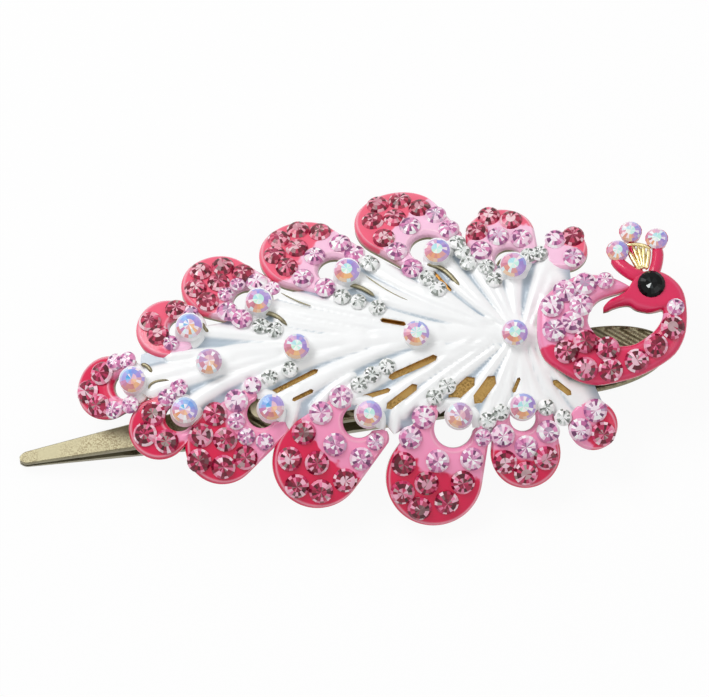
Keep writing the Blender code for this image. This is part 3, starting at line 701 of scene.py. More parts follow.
@dataclass(frozen=True)
class Facets:
    """Colours of a kind of stone by zone, which paint its light and shade; ordered ones run round the stone
    from its right side.
    """

    table: str
    crown: str
    # The edge ring is paler, with painted glints near the girdle.
    edge: str = ""
    # Glint: a painted reflection of the lamp on the table facets, given to a share of the stones.
    glint: str = "ffffff"
    glint_chance: float = 0.0
    ordered: bool = False
    # Sparkle: share of facets painted as white highlights.
    sparkle: float = 0.0


# Glints are painted reflections of the lamp on the table, sparkle facets painted highlights; the upper beds'
# CORAL stones get the painted table reflection more often, and paler tables.
DARK = Facets(
    table="8c1238 c83460 760c2e e87ca0 b42452 9c7276 da5080 9c1a44",
    crown="640620 a4143e d43c6c f084ac 54041a ba2456 8a0e34 f8bcd2 740a2a",
    edge="f8c4d6 d84878 980f3c fde6ee c02c5c e87ca2 78082c f4a4be",
    glint="aa9894 c8a8ac e0a4b8 8c6468 f0ccd8",
    glint_chance=0.35, sparkle=0.06,
)
CORAL = Facets(
    table="b84868 e08ca4 98284a cc6882 842040 f4bcc8 a83a5a",
    crown="640a22 a01c40 cc3c62 e87090 560818 8c1434 ba2e54 f4a4b8 780f2c",
    edge="f6bcca cc3e64 90183a fbdce4 b42a50 e4708c 741030",
    glint="f0c8d0 d89caa b89490 f8dce0 8c6664",
    glint_chance=0.6, sparkle=0.04,
)
LIGHT = Facets(
    table="eeb0d2 fbe4f0 c880ac a86c98 ffffff e4a0c8 d492bc f8d8ea",
    crown="e898c6 fbe0ee cc76ac 98588a ffffff f0b8d8 7e4674 de88ba fbeaf4",
    edge="ffffff f4d0e4 d28cb8 a8649a fbeaf4 e8a8ce f8dcec",
    glint="fbeef6 e0c8dc c4a8c2",
    glint_chance=0.4, sparkle=0.05,
)
CLEAR = Facets(
    table="f6f7f6 c9cecb 989e99 fdfdfd 7b807b e3e6e3",
    crown="f8f9f8 d3d8d5 a2a9a3 ffffff 5e635e e9ecea 868c86 f2f4f2",
    edge="ffffff eef0ee c4cac6 f6f8f6 9aa09a fdfdfd",
    glint="fafafa e6eae8",
    glint_chance=0.3,
)
# The coated stones' white sparkle facets are painted highlights.
MINT = Facets(
    table="cdf3ea e4faf2 bdeef2 c8eef6 eefbf4 d6f6e4 f4fcf4 dcf6ee",
    crown="b49adc c4ace2 a8a4e6 dcb8e2 e8bcd8 d494c0 f2c0cc eeb0c2 "
          "dc94ac d08a98 e8a494 f0b48c f6c894 e8b0b0 c8a4d8",
    edge="c8b4ee b8c4f4 e8d0f0 f2cce2 e8a8c4 e49cac f4c4a4 f8dcc0 dcb8dc",
    glint="ffffff f6eefa fdf0f4 e8f6fa",
    sparkle=0.2, ordered=True,
)
AZURE = Facets(
    table="f2ccdc 9cbcf2 6cb8ee 84d0f2 b4c0f2 e4b4d0 f2bcaa f8d0ac",
    crown="b8a4e4 9ca8ea 84b0f0 a0c4f4 b8b4ec c89cda d894c0 d088ac dc9494 f0b084 f6c49a e8b8c4",
    edge="c8b8f0 b4ccf6 c4dcf8 dcc8f0 e0a4cc e8a0a8 f6c8a4 f2c8d0",
    glint="ffffff f6eefa fdf0f4 e8f6fa",
    sparkle=0.2, ordered=True,
)
ROSE = Facets(
    table="ecc0ce f4d4d8 dcb0d0 ccacd8 f2d6dc f0c4c8 f6d8c0 f4ccb4",
    crown="cc9cbc d8accc c094c0 d0a8d0 e0acc0 dc98ac e2a49c f0ba90 e8b098 d098b0",
    edge="e0c0dc d0bce4 ecd0e8 f0ccd8 e4a8b8 ecb8a8 f6d4b8 e0b4c8",
    glint="ffffff f6eefa fdf0f4 e8f6fa",
    sparkle=0.2, ordered=True,
)
# The near-white sixth table colour is a painted highlight; the ordered run puts it on the stone's lower
# left.
BLACK = Facets(
    table="1c1e1f 0c0d0e 2c3031 0a0b0b 151617 e4e8e8 3a3f40 101112",
    crown="040505 0e0f10 181a1b 070808 1e2122 0a0b0b 131415 050606 222526 0c0d0d",
    ordered=True,
)
LOWER_SIZES = {"d": 3.8, "l": 3.7, "s": 2.8, "c": 2.7}
UPPER_SIZES = {"d": 3.5, "l": 3.35, "s": 2.5, "c": 2.7}


@dataclass
class StoneCutter:
    """Cuts a stone once, and sets copies of it."""

    sides: int = 18
    profile: Profile = ((0.7, -1.0), (1.0, -0.12), (1.0, 0.0), (0.8, 0.6), (0.44, 1.0))
    edge_from: float = 0.86
    shift: float = 0.09
    scatter: float = 0.05
    glint_share: float = 0.7
    pattern: bpy.types.Mesh | None = None

    def cut(self) -> bpy.types.Mesh:
        """Cuts the pattern stone: radius one, foot at -1, girdle at 0 and table at 1.

        Returns:
            Its mesh.
        """
        rings = [[Vector((radius * math.cos(turn), radius * math.sin(turn), height))
                  for turn in turns(self.sides)] for radius, height in self.profile]
        thing = Bench.loft("stone_pattern", rings)
        bpy.ops.object.mode_set(mode="EDIT")
        Bench.select_level(thing, len(rings) - 1)
        bpy.ops.mesh.poke()
        bpy.ops.object.mode_set(mode="OBJECT")
        Bench.strip(thing)
        mesh = thing.data
        bpy.data.objects.remove(thing)
        return mesh

    def set_stone(self, seat: Matrix, radius: float, height: float, depth: float, facets: Facets,
                  chance: random.Random) -> Thing:
        """Sets one copy.

        Args:
            seat: Frame of the girdle's centre.
            radius: Radius of the girdle.
            height: Height of the table above the girdle.
            depth: Depth of the foot below the girdle.
            facets: Colours of the stone.
            chance: Source of chance for the facets.

        Returns:
            The stone as an object of its own.
        """
        if self.pattern is None:
            self.pattern = self.cut()
        mesh = self.pattern.copy()
        spin = Matrix.Rotation(chance.uniform(0, math.pi), 4, "Z")
        for corner in mesh.vertices:
            x, y, z = corner.co
            scaled = Vector((x * radius, y * radius, z * (height if z > 0 else depth)))
            corner.co = seat @ (spin @ scaled)
        self.colour(mesh, seat, radius, facets, chance)
        thing = bpy.data.objects.new("stone", mesh)
        bpy.context.scene.collection.objects.link(thing)
        return thing

    def colour(self, mesh: bpy.types.Mesh, seat: Matrix, radius: float, facets: Facets,
               chance: random.Random) -> None:
        """Writes each facet's colour as a corner attribute, painted glints and highlights included.

        The facets are taken in an order that depends only on their places, so that runs repeat.

        Args:
            mesh: Mesh of the set stone.
            seat: Frame of the girdle's centre.
            radius: Radius of the girdle.
            facets: Colours of the stone.
            chance: Source of chance.
        """
        inverse = seat.inverted()
        table, crown, edge, glints = [text.split() for text in (
            facets.table, facets.crown, facets.edge or facets.crown, facets.glint)]
        # Painted reflection: some stones get one glint colour on most of their table facets.
        glint = chance.choice(glints) if chance.random() < facets.glint_chance else None
        shift = chance.uniform(-self.shift, self.shift)
        layer = mesh.attributes.new("facet", "FLOAT_COLOR", "CORNER")
        places = [(inverse @ face.center) / radius for face in mesh.polygons]
        keys = [tuple(round(value, 3) for value in place) for place in places]
        for i in sorted(range(len(places)), key=keys.__getitem__):
            away = places[i]
            reach = away.to_2d().length
            on_table = reach < self.profile[-1][0]
            codes = table if on_table else edge if reach > self.edge_from else crown
            if facets.ordered:
                turn = math.atan2(away.y, away.x) / (2 * math.pi) + shift
                turn += chance.uniform(-self.scatter, self.scatter)
                code = codes[int(turn * len(codes)) % len(codes)]
            elif on_table and glint and chance.random() < self.glint_share:
                code = glint
            else:
                code = chance.choice(codes)
            # Painted highlight: a few facets take a glint colour as sparkle.
            if chance.random() < facets.sparkle:
                code = chance.choice(glints)
            for corner in mesh.polygons[i].loop_indices:
                layer.data[corner].color = linear(code)


@dataclass
class Band:
    """Strip of casting between two edges, with a rounded top and a rim that carries a painted highlight,
    formed over the dome.
    """

    pairs: Pairs
    floor: float
    edge: float
    crown: float
    ridge: float = 0.0
    shoulder: float = 1.7 * MM
    full_width: float = 4.2 * MM
    inner_points: int = 5
    steps: tuple[float, ...] = (0.0, 0.06, 0.16, 0.25, 0.33, 0.41, 0.52, 0.7, 1.0)
    rim_place: float = 0.33
    rim_width: float = 0.09
    bare_places: int = 4

    def section(self, outer: Vector, inner: Vector) -> list[tuple[Vector, float, float]]:
        """Places round one cross-section.

        Args:
            outer: Outer edge in the flat layout.
            inner: Inner edge in the flat layout.

        Returns:
            Flat place, lift and rim weight of each place, which raises the rim and marks its painted
            highlight; the last four are the wall and underside.
        """
        width = (inner - outer).length
        reach = self.shoulder * min(1.0, width / self.full_width)
        marks = [step * reach for step in self.steps]
        gap = (width - 2 * reach) / (self.inner_points + 1)
        marks += [reach + gap * (i + 1) for i in range(self.inner_points)]
        marks += [width - step * reach for step in reversed(self.steps)]
        across = (inner - outer).normalized() if width > TINY else Vector((1, 0))
        places = []
        for mark in marks:
            near = min(mark, width - mark)
            rise = math.sqrt(max(0.0, 1 - (1 - min(1.0, near / self.shoulder)) ** 2))
            lift = self.edge + (self.crown - self.edge) * rise
            off_rim = (near / reach - self.rim_place) / self.rim_width if reach > 0 else math.inf
            # The rim weight lifts the ridge and also marks the painted highlight along it.
            rim = math.exp(-off_rim ** 2)
            places.append((outer + across * mark, lift + self.ridge * rim, rim))
        middle = (self.floor + self.edge) / 2
        bare = ((inner, middle), (inner, self.floor), (outer, self.floor), (outer, middle))
        return places + [(place, lift, 0.0) for place, lift in bare]

    def build(self, name: str) -> tuple[Thing, Rings]:
        """Lofts the strip.

        Args:
            name: Name of the piece.

        Returns:
            The piece, and the flat place of each of its ring places.
        """
        sections = [self.section(*pair) for pair in self.pairs]
        rings = [[LAYOUT.formed(place.x, place.y, lift) for place, lift, _ in section]
                 for section in sections]
        thing = Bench.loft(name, rings)
        # Rim weights go to the enamel as the place of its painted highlight.
        Bench.note(thing, "rim", [[rim for _, _, rim in section] for section in sections])
        count = len(rings[0])
        Bench.gild(thing, count - self.bare_places, count - 1)
        return thing, [[place for place, _, _ in section] for section in sections]


@dataclass
class Feather:
    """One feather lobe: its round end, its eye and hole, where the tint turns, and its stones."""

    number: int
    tip: Pixel
    tip_radius: float
    eye: Pixel | None
    eye_radius: float
    hole: Pixel | None
    hole_radius: float
    turn_line: tuple[Pixel, Pixel, Pixel]
    stones: str
    root: Pixel = (0.0, 0.0)
    lean: float = 0.0
    trim: float = 0.16
    arm_turn: float = math.radians(122.0)
    arm_ends: tuple[float, ...] = (0.75, 0.4, 0.15)
    collar_lap: float = math.radians(8.0)
    collar_edge: float = 0.95 * MM
    collar_crown: float = 1.62 * MM
    collar_width: float = 1.75 * MM
    arc_steps: int = 40
    outline_points: int = 110
    disc_rows: int = 36
    disc_end: float = 0.02
    floor: float = 0.0
    edge: float = 1.0 * MM
    crown: float = 1.8 * MM
    ridge: float = 0.14 * MM

    def outline(self, tip: Vector, eye: Vector) -> list[Vector]:
        """Places spread evenly round the two circles of the lobe, from the eye's far side.

        Args:
            tip: Centre of the round end.
            eye: Centre of the eye.

        Returns:
            Places of the closed outline.
        """
        big, small = [(radius - self.trim) * MM for radius in (self.tip_radius, self.eye_radius)]
        back = tip - eye
        lean = math.asin(max(-1.0, min(1.0, (big - small) / back.length)))
        heading, quarter = math.atan2(back.y, back.x), math.pi / 2
        corners = []
        for centre, radius, start, sweep in ((eye, small, math.pi, lean - quarter),
                                             (tip, big, quarter + lean, -math.pi - 2 * lean),
                                             (eye, small, -quarter - lean, lean - quarter)):
            for i in range(self.arc_steps + 1):
                angle = heading + start + sweep * i / self.arc_steps
                corners.append(centre + radius * Vector((math.cos(angle), math.sin(angle))))
        lengths = [0.0]
        for one, other in zip(corners, corners[1:]):
            lengths.append(lengths[-1] + (other - one).length)
        spread, here = [], 0
        for i in range(self.outline_points):
            want = lengths[-1] * i / self.outline_points
            while lengths[here + 1] < want:
                here += 1
            share = (want - lengths[here]) / max(lengths[here + 1] - lengths[here], TINY)
            spread.append(corners[here].lerp(corners[here + 1], share))
        return spread

    def ring(self) -> list[tuple[float, Vector, Vector]]:
        """Edges of the ring round the hole.

        Returns:
            Angle round the hole, outer edge and inner edge of each place of the outline.
        """
        spots = (self.tip, self.eye, self.hole)
        tip, eye, hole = [LAYOUT.flat(pixel, LIFTS.web) for pixel in spots]
        back = (tip - eye).normalized()
        side = square(back)
        made = []
        for outer in self.outline(tip, eye):
            away = outer - hole
            angle = math.atan2(away.dot(side), away.dot(back))
            made.append((angle, outer, hole + away.normalized() * self.hole_radius * MM))
        return made

    def horseshoe(self) -> Pairs:
        """Strip from one arm round the feather's end to the other arm.

        Returns:
            Its edge pairs.
        """
        pairs = [(outer, inner) for angle, outer, inner in self.ring()
                 if abs(angle) <= self.arm_turn]
        for i, shrink in enumerate(self.arm_ends):
            for k in (i, len(pairs) - 1 - i):
                outer, inner = pairs[k]
                middle = (outer + inner) / 2
                pairs[k] = (outer.lerp(middle, shrink), inner.lerp(middle, shrink))
        return pairs

    def collar(self) -> Thing:
        """White enamel that closes the ring round the hole on the eye's side.

        Returns:
            The collar.
        """
        ring = self.ring()
        from_turn = self.arm_turn - self.collar_lap
        beyond = [i for i, (angle, _, _) in enumerate(ring) if abs(angle) > from_turn]
        half = len(ring) // 2
        pairs = []
        for i in sorted(beyond, key=lambda i: i < half):
            _, outer, inner = ring[i]
            wide = outer - inner
            reach = wide.normalized() * min(wide.length, self.collar_width)
            pairs.append((inner + reach, inner))
        thing, _ = Band(pairs, self.floor, self.collar_edge, self.collar_crown).build("collar")
        Bench.fill(thing, crest=1.0)
        return thing

    def disc(self) -> Pairs:
        """Strip from the root across a lobe that has no eye.

        Returns:
            Its edge pairs.
        """
        centre = LAYOUT.flat(self.tip, LIFTS.web)
        back = (centre - LAYOUT.flat(self.root, LIFTS.web)).normalized()
        radius = (self.tip_radius - self.trim) * MM
        pairs = []
        for i in range(self.disc_rows + 1):
            angle = math.pi * (self.disc_end + (1 - 2 * self.disc_end) * i / self.disc_rows)
            middle = centre - back * radius * math.cos(angle)
            half = square(back) * radius * math.sin(angle)
            pairs.append((middle + half, middle - half))
        return pairs

    def tints(self, rows: Rings) -> list[list[float]]:
        """Distance past the line where the tint turns, in millimetres, positive on the deep side.

        Args:
            rows: Places of the flat layout, ring by ring.

        Returns:
            A distance for each place.
        """
        start = LAYOUT.flat(self.eye or self.root, LIFTS.web)
        back = (LAYOUT.flat(self.tip, LIFTS.web) - start).normalized()
        side = square(back)
        marks = [LAYOUT.flat(pixel, LIFTS.web) - start for pixel in self.turn_line]
        line = np.polyfit([mark.dot(side) for mark in marks], [mark.dot(back) for mark in marks], 2)
        made = []
        for row in rows:
            aways = [place - start for place in row]
            made.append([(away.dot(back) - float(np.polyval(line, away.dot(side)))) / MM
                         for away in aways])
        return made

    def build(self) -> Thing:
        """Enamelled lobe with its rim.

        Returns:
            The lobe.
        """
        pairs = self.horseshoe() if self.eye else self.disc()
        band = Band(pairs, self.floor, self.edge, self.crown, self.ridge)
        thing, places = band.build("tail_lobe_%02d" % self.number)
        Bench.note(thing, "tint", self.tints(places))
        return Bench.smooth(thing, degrees=60)


@dataclass
class Rod:
    """Round bar along a curve through three pixels, with its width and lifts in millimetres."""

    pixels: list[float]
    width: float
    low: float
    high: float
    points: int = 12
    sides: int = 10
    end_share: float = 0.92
    end_power: int = 6

    def build(self, name: str) -> Thing:
        """The bar, deep in tint and with no painted rim highlight.

        Args:
            name: Name of the bar.

        Returns:
            The bar.
        """
        start, middle, end = [LAYOUT.flat(self.pixels[i:i + 2], self.low * MM) for i in (0, 2, 4)]
        bend = 2 * middle - (start + end) / 2
        rings = []
        for i in range(self.points + 1):
            t = i / self.points
            place = curve(start, bend, end, t)
            side = square(((bend - start) * (1 - t) + (end - bend) * t).normalized())
            taper = math.sqrt(1 - self.end_share * abs(2 * t - 1) ** self.end_power)
            half = self.width * MM / 2 * taper
            middle_lift = (self.low + (self.high - self.low) * t) * MM
            ring = []
            for angle in turns(self.sides):
                spot = place + side * half * math.cos(angle)
                ring.append(LAYOUT.formed(spot.x, spot.y, middle_lift + half * math.sin(angle)))
            rings.append(ring)
        thing = Bench.loft(name, rings)
        Bench.fill(thing, tint=DEEP_TINT, rim=0.0)
        return thing


@dataclass(frozen=True)
class Cup:
    """Round cup that carries a stone, turned from a profile of radii and lifts in millimetres."""

    profile: Profile
    sides: int
    lean: float = 0.0

    def build(self, name: str, pixel: Pixel, **marks: float) -> Thing:
        """The cup under one stone.

        Args:
            name: Name of the cup.
            pixel: Pixel of the stone.
            marks: Values of its point attributes.

        Returns:
            The cup.
        """
        place = LAYOUT.flat(pixel, LIFTS.post)
        rings = [round_ring(LAYOUT.seat(place, lift * MM, self.lean), radius * MM, self.sides)
                 for radius, lift in self.profile]
        thing = Bench.loft(name, rings)
        Bench.fill(thing, **marks)
        return thing


@dataclass
class Ribbing:
    """White ribs of the tail as one relief.

    Each rib has its start, middle and end pixels and its two widths in millimetres.
    """

    curves: str = (
        "546 336 470 333 380 338 4.7 4.3; 400 337 300 346 200 364 4 3.8; "
        "230 358 180 370 134 381 3.6 4.1; 330 343 255 335 192 328 2.2 3.4; "
        "290 347 225 352 172 356 2 2.4; 420 332 330 319 262 304 2.2 3.4; "
        "340 342 285 333 240 319 2.2 3.4; 440 328 350 311 276 292 2 3.1; "
        "480 326 410 303 350 275 2.2 3.6; 440 329 380 313 334 296 2.2 3.4; "
        "490 322 425 297 364 260 1.3 3.4; 506 328 472 292 440 256 1.4 3.6; "
        "480 322 442 294 412 264 2.2 3.4; 510 326 488 288 458 240 1.4 3.6; "
        "518 326 514 298 513 268 1.4 4.1; 512 320 498 290 482 258 1.2 3.4; "
        "524 326 536 290 549 256 1.6 4.1; 531 326 549 286 566 254 1.6 3.6; "
        "310 352 240 376 190 406 2 3.4; 275 356 205 374 148 393 2 3.4; "
        "410 342 335 369 274 404 2.2 3.6; 360 346 300 364 250 389 2.2 3.4; "
        "390 349 335 374 288 403 1.9 2.6; 486 340 424 374 371 410 1.4 3.6; "
        "440 346 390 367 348 393 2.2 3.4; 465 345 400 368 345 402 1.9 2.6; "
        "510 341 482 380 460 412 1.4 3.6; 496 347 458 376 424 404 1.4 3.4; "
        "490 343 440 378 402 412 1.2 2.9; 520 342 521 375 522 404 1.4 4.1; "
        "513 345 498 385 484 421 1.3 3.1; 517 345 508 380 499 412 1.2 3.1; "
        "536 342 560 380 588 413 1.6 3.6; 529 345 544 380 566 419 1.4 3.6; "
        "523 346 531 380 545 409 1.3 3.4; 543 296 543 335 547 368 1.7 3.6; "
        "200 366 230 352 270 350 2.7 2.9; 352 376 330 392 316 410 2 2.8; "
        "362 333 312 326 280 319 1.8 2.6; 474 324 424 312 384 300 1.4 2.4; "
        "484 322 446 304 420 288 1.2 2.2; 502 324 478 306 454 284 1.2 2.2; "
        "424 292 396 274 374 256 1.8 2.6; 400 392 396 412 393 434 2.2 2.4; "
        "300 388 294 408 288 432 2.2 2.4; 492 392 489 412 487 434 1.8 2.2; "
        "548 300 556 330 566 352 2 2.4; 470 340 452 352 434 366 1.4 2"
    )
    points: int = 25
    rise: float = 0.72 * MM
    roundness: float = 1.3
    union: float = 4.0
    highest: float = 1.15

    def lines(self) -> list[tuple[np.ndarray, np.ndarray]]:
        """Middle lines of the ribs.

        Returns:
            Places along each rib, and its half width there.
        """
        made = []
        shares = np.linspace(0.0, 1.0, self.points)[:, None]
        for *pixels, first, last in rows_of(self.curves):
            start, middle, end = [
                np.array(LAYOUT.flat(pixels[i:i + 2], LIFTS.web)) for i in (0, 2, 4)]
            places = curve(start, 2 * middle - (start + end) / 2, end, shares)
            made.append((places, MM / 2 * (first + (last - first) * shares[:, 0])))
        return made

    def heights(self, spots: np.ndarray) -> np.ndarray:
        """Height of the relief above the web's floor.

        Args:
            spots: Rows of places of the flat layout.

        Returns:
            One height for each row.
        """
        total = np.zeros(len(spots))
        for places, halves in self.lines():
            ways = places[1:] - places[:-1]
            away = spots[:, None, :] - places[None, :-1, :]
            share = np.clip((away * ways).sum(2) / (ways ** 2).sum(1), 0.0, 1.0)
            gap = np.linalg.norm(away - share[:, :, None] * ways, axis=2)
            half = halves[:-1] + share * (halves[1:] - halves[:-1])
            bulge = np.clip(1.0 - (gap / half) ** 2, 0.0, None).max(axis=1)
            total += bulge ** (self.union * self.roundness)
        return self.rise * np.minimum(total ** (1 / self.union), self.highest)


@dataclass
class Stones:
    """Sets the stones of the tail, the bird and the crown, one piece for each CAD node.

    The letters d, l, s and c stand for dark, light, small and clear stones.
    """

    cutter: StoneCutter
    crown_share: float = 0.2
    foot_depth: float = 0.75 * MM
    bed_depth: float = 0.5 * MM
    girdle: float = 0.35 * MM

    def pave(self, name: str, text: str, bed: float, upper: bool, lean: float = 0.0) -> Thing:
        """Small stones of one bed.

        Args:
            name: Name of the piece.
            text: Kind and pixel of each stone, with commas between them.
            bed: Lift of the girdles.
            upper: True for a bed on the far side of the dome.
            lean: Share by which the stones lean to the picture.

        Returns:
            The stones as one piece.
        """
        chance = random.Random(name)
        kinds = {"d": CORAL if upper else DARK, "l": LIGHT, "s": LIGHT, "c": CLEAR}
        sizes = UPPER_SIZES if upper else LOWER_SIZES
        things = []
        for kind, x, y in [part.split() for part in text.split(",")]:
            radius = sizes[kind] * MM / 2
            place = LAYOUT.flat((float(x), float(y)), bed - self.bed_depth)
            height = 2 * radius * self.crown_share
            things.append(self.cutter.set_stone(LAYOUT.seat(place, bed, lean), radius, height,
                                                self.foot_depth, kinds[kind], chance))
        return Bench.joined(name, things)

    def single(self, name: str, pixel: Pixel, diameter: float, foot: float,
               facets: Facets) -> Thing:
        """One big stone in its cup.

        Args:
            name: Name of the piece.
            pixel: Pixel of the stone.
            diameter: Girdle diameter in millimetres.
            foot: Lift of the stone's foot.
            facets: Colours of the stone.

        Returns:
            The stone.
        """
        seat = LAYOUT.seat(LAYOUT.flat(pixel, foot), foot + self.girdle, BIG_LEAN)
        height = diameter * MM * self.crown_share
        thing = self.cutter.set_stone(seat, diameter * MM / 2, height, self.girdle, facets,
                                      random.Random(name))
        return Bench.joined(name, [thing])


@dataclass
class Finishes:
    """Finishes that several sub-assemblies share, each made once."""

    gold: Material
    pink_stone: Material
    clear_stone: Material
    rainbow_stone: Material

    @classmethod
    def make(cls) -> "Finishes":
        """Makes the shared finishes.

        Returns:
            The finishes.
        """
        gold = Metal("champagne_gold", "908a71", "695f4a",
                     roughness=0.42, fine=4200.0, pit=0.012 * MM).make()
        glass = [StoneFinish(name).make()
                 for name in ("pink_glass", "clear_glass", "rainbow_glass")]
        return cls(gold, *glass)


@dataclass
class Tail:
    """Cast tail: a ribbed white sheet with slits, feather lobes, and the cups of the big stones.

    A slit has its two end pixels and its width, and a crescent its three pixels and its width.
    """

    feathers: list[Feather]
    ribbing: Ribbing = field(default_factory=Ribbing)
    spine_stones: tuple[Pixel, ...] = ((210, 362), (297, 347), (416, 334), (514, 333))
    big_diameter: float = 4.0
    web_step: float = 0.4 * MM
    web_floor: float = 0.05 * MM
    web_top: float = 1.02 * MM
    web_reach: float = 36.0 * MM
    slit_floor: float = 0.3 * MM
    slit_top: float = 3.0 * MM
    wall_slope: float = 0.5
    edge_sink: float = 0.3
    web_corners: str = (
        "140 372, 142 354, 175 346, 190 332, 225 322, 245 313, 259 306, 300 291, 325 286, 347 276, "
        "366 260, 412 272, 437 256, 458 243, 490 262, 513 270, 552 254, 568 256, 572 300, 575 345, "
        "604 408, 590 418, 572 424, 552 415, 522 404, 488 434, 459 408, 432 412, 394 434, 371 406, "
        "338 412, 290 430, 274 404, 246 394, 200 412, 188 404, 150 398, 141 392"
    )
    slits: str = (
        "391 377 434 358 0.95; 452 397 470 381 1.8; 477 399 491 380 1.7; 513 391 518 379 0.55; "
        "389 406 414 387 1.15; 364 397 388 390 0.75; 274 392 316 371 0.85; 294 400 312 391 0.6; "
        "382 321 404 325 0.6; 554 382 568 393 0.9; 450 290 432 270 0.5"
    )
    crescents: str = (
        "254 315 271 314 287 325 0.75; 341 284 358 287 374 296 0.7; 427 265 443 270 460 288 0.8; "
        "203 323 205 328 209 332 0.6; 142 365 148 366 153 373 0.6; 150 389 155 382 170 380 0.35; "
        "497 266 499 262 503 259 0.4; 281 293 297 301 311 306 0.2; 366 276 388 291 409 301 0.2"
    )
    cup: Cup = Cup(
        ((2.3, 1.0), (1.98, 1.5), (1.86, 2.3), (1.95, 2.9), (2.13, 3.25), (2.1, 3.4), (1.7, 3.4)),
        24, BIG_LEAN,
    )

    def big_stones(self) -> list[Pixel]:
        """Pixels of the feather eyes, then of the spine stones."""
        return [feather.eye for feather in self.feathers if feather.eye] + list(self.spine_stones)

    def mounts(self) -> Thing:
        """Cups of the big stones and white collars round the holes.

        Returns:
            One piece of them all.
        """
        things = [self.cup.build("cup", pixel, crest=1.0) for pixel in self.big_stones()]
        things += [feather.collar() for feather in self.feathers if feather.eye]
        return Bench.smooth(Bench.joined("tail_cups", things), degrees=55)

    def bare_edges(self) -> Thing:
        """Bare metal that shows in crescents by the eyes and along some ribs.

        Returns:
            One piece of them all.
        """
        things = []
        for *pixels, width in rows_of(self.crescents):
            lift = (self.web_top + self.ribbing.rise) / MM - width * self.edge_sink
            things.append(Rod(pixels, width, lift, lift).build("edge"))
        return Bench.smooth(Bench.joined("tail_bare_edges", things), degrees=60)

    def flat_plate(self, name: str, corners: list[Vector], *heights: float) -> Thing:
        """Flat plate from an outline between two heights, not yet formed."""
        return Bench.loft(name, [[Vector((c.x, c.y, z)) for c in corners] for z in heights])

    def slit_cutter(self) -> Thing:
        """Flat wedges in the place of the slits.

        Returns:
            One piece of them all.
        """
        cutters = []
        for *pixels, width in rows_of(self.slits):
            start, end = [LAYOUT.flat(pixels[i:i + 2], LIFTS.web) for i in (0, 2)]
            way = (end - start).normalized() * width * MM / 2
            side = square(way)
            corners = [start - side, start - way, start + side, end + side, end + way, end - side]
            cutters.append(self.flat_plate("slit", corners, self.slit_floor, self.slit_top))
        return Bench.joined("slits", cutters)

    def web(self) -> Thing:
        """Ribbed sheet with its slits, formed over the dome.

        Returns:
            The sheet.
        """
        corners = [LAYOUT.flat(corner, LIFTS.web) for corner in rows_of(self.web_corners, ",")]
        sheet = self.flat_plate("tail_web", corners, self.web_floor, self.web_top)
        cutter = self.slit_cutter()
        Bench.pick(sheet)
        cut = sheet.modifiers.new("slits", "BOOLEAN")
        cut.operation = "DIFFERENCE"
        cut.object = cutter
        bpy.ops.object.modifier_apply(modifier=cut.name)
        bpy.data.objects.remove(cutter)
        self.divide()
        middle = self.web_top / 2
        for face in sheet.data.polygons:
            face.material_index = int(face.normal.z < self.wall_slope or face.center.z < middle)
        spots = np.array([corner.co for corner in sheet.data.vertices])
        heights = self.ribbing.heights(spots[:, :2]) * (spots[:, 2] > middle)
        for corner, height in zip(sheet.data.vertices, heights):
            x, y, z = corner.co
            corner.co = LAYOUT.formed(x, y, z + float(height))
        # The crest share sets where the white enamel's painted groove shade falls.
        layer = sheet.data.attributes.new("crest", "FLOAT", "POINT")
        layer.data.foreach_set("value", heights / self.ribbing.rise)
        return Bench.smooth(sheet, degrees=75)

    def divide(self) -> None:
        """Cuts the active flat piece in narrow strips both ways."""
        bpy.ops.object.mode_set(mode="EDIT")
        count = int(self.web_reach / self.web_step)
        for i in range(-count, count + 1):
            for normal in (Vector((0, 1, 0)), Vector((1, 0, 0))):
                bpy.ops.mesh.select_all(action="SELECT")
                bpy.ops.mesh.bisect(plane_co=normal * (i * self.web_step), plane_no=normal,
                                    use_fill=False)
        bpy.ops.mesh.select_all(action="SELECT")
        bpy.ops.mesh.quads_convert_to_tris()
        bpy.ops.mesh.normals_make_consistent(inside=False)
        bpy.ops.object.mode_set(mode="OBJECT")

    def dress(self, stones: Stones, finishes: Finishes) -> None:
        """Builds the tail with its stones and hands all of it over.

        Args:
            stones: Setter of the stones.
            finishes: Shared finishes.
        """
        gold = finishes.gold
        white = WhiteEnamel().make()
        floor = Metal("slit_gold", "b8955a", "876a3a",
                      roughness=0.3, fine=3600.0, pit=0.012 * MM).make()
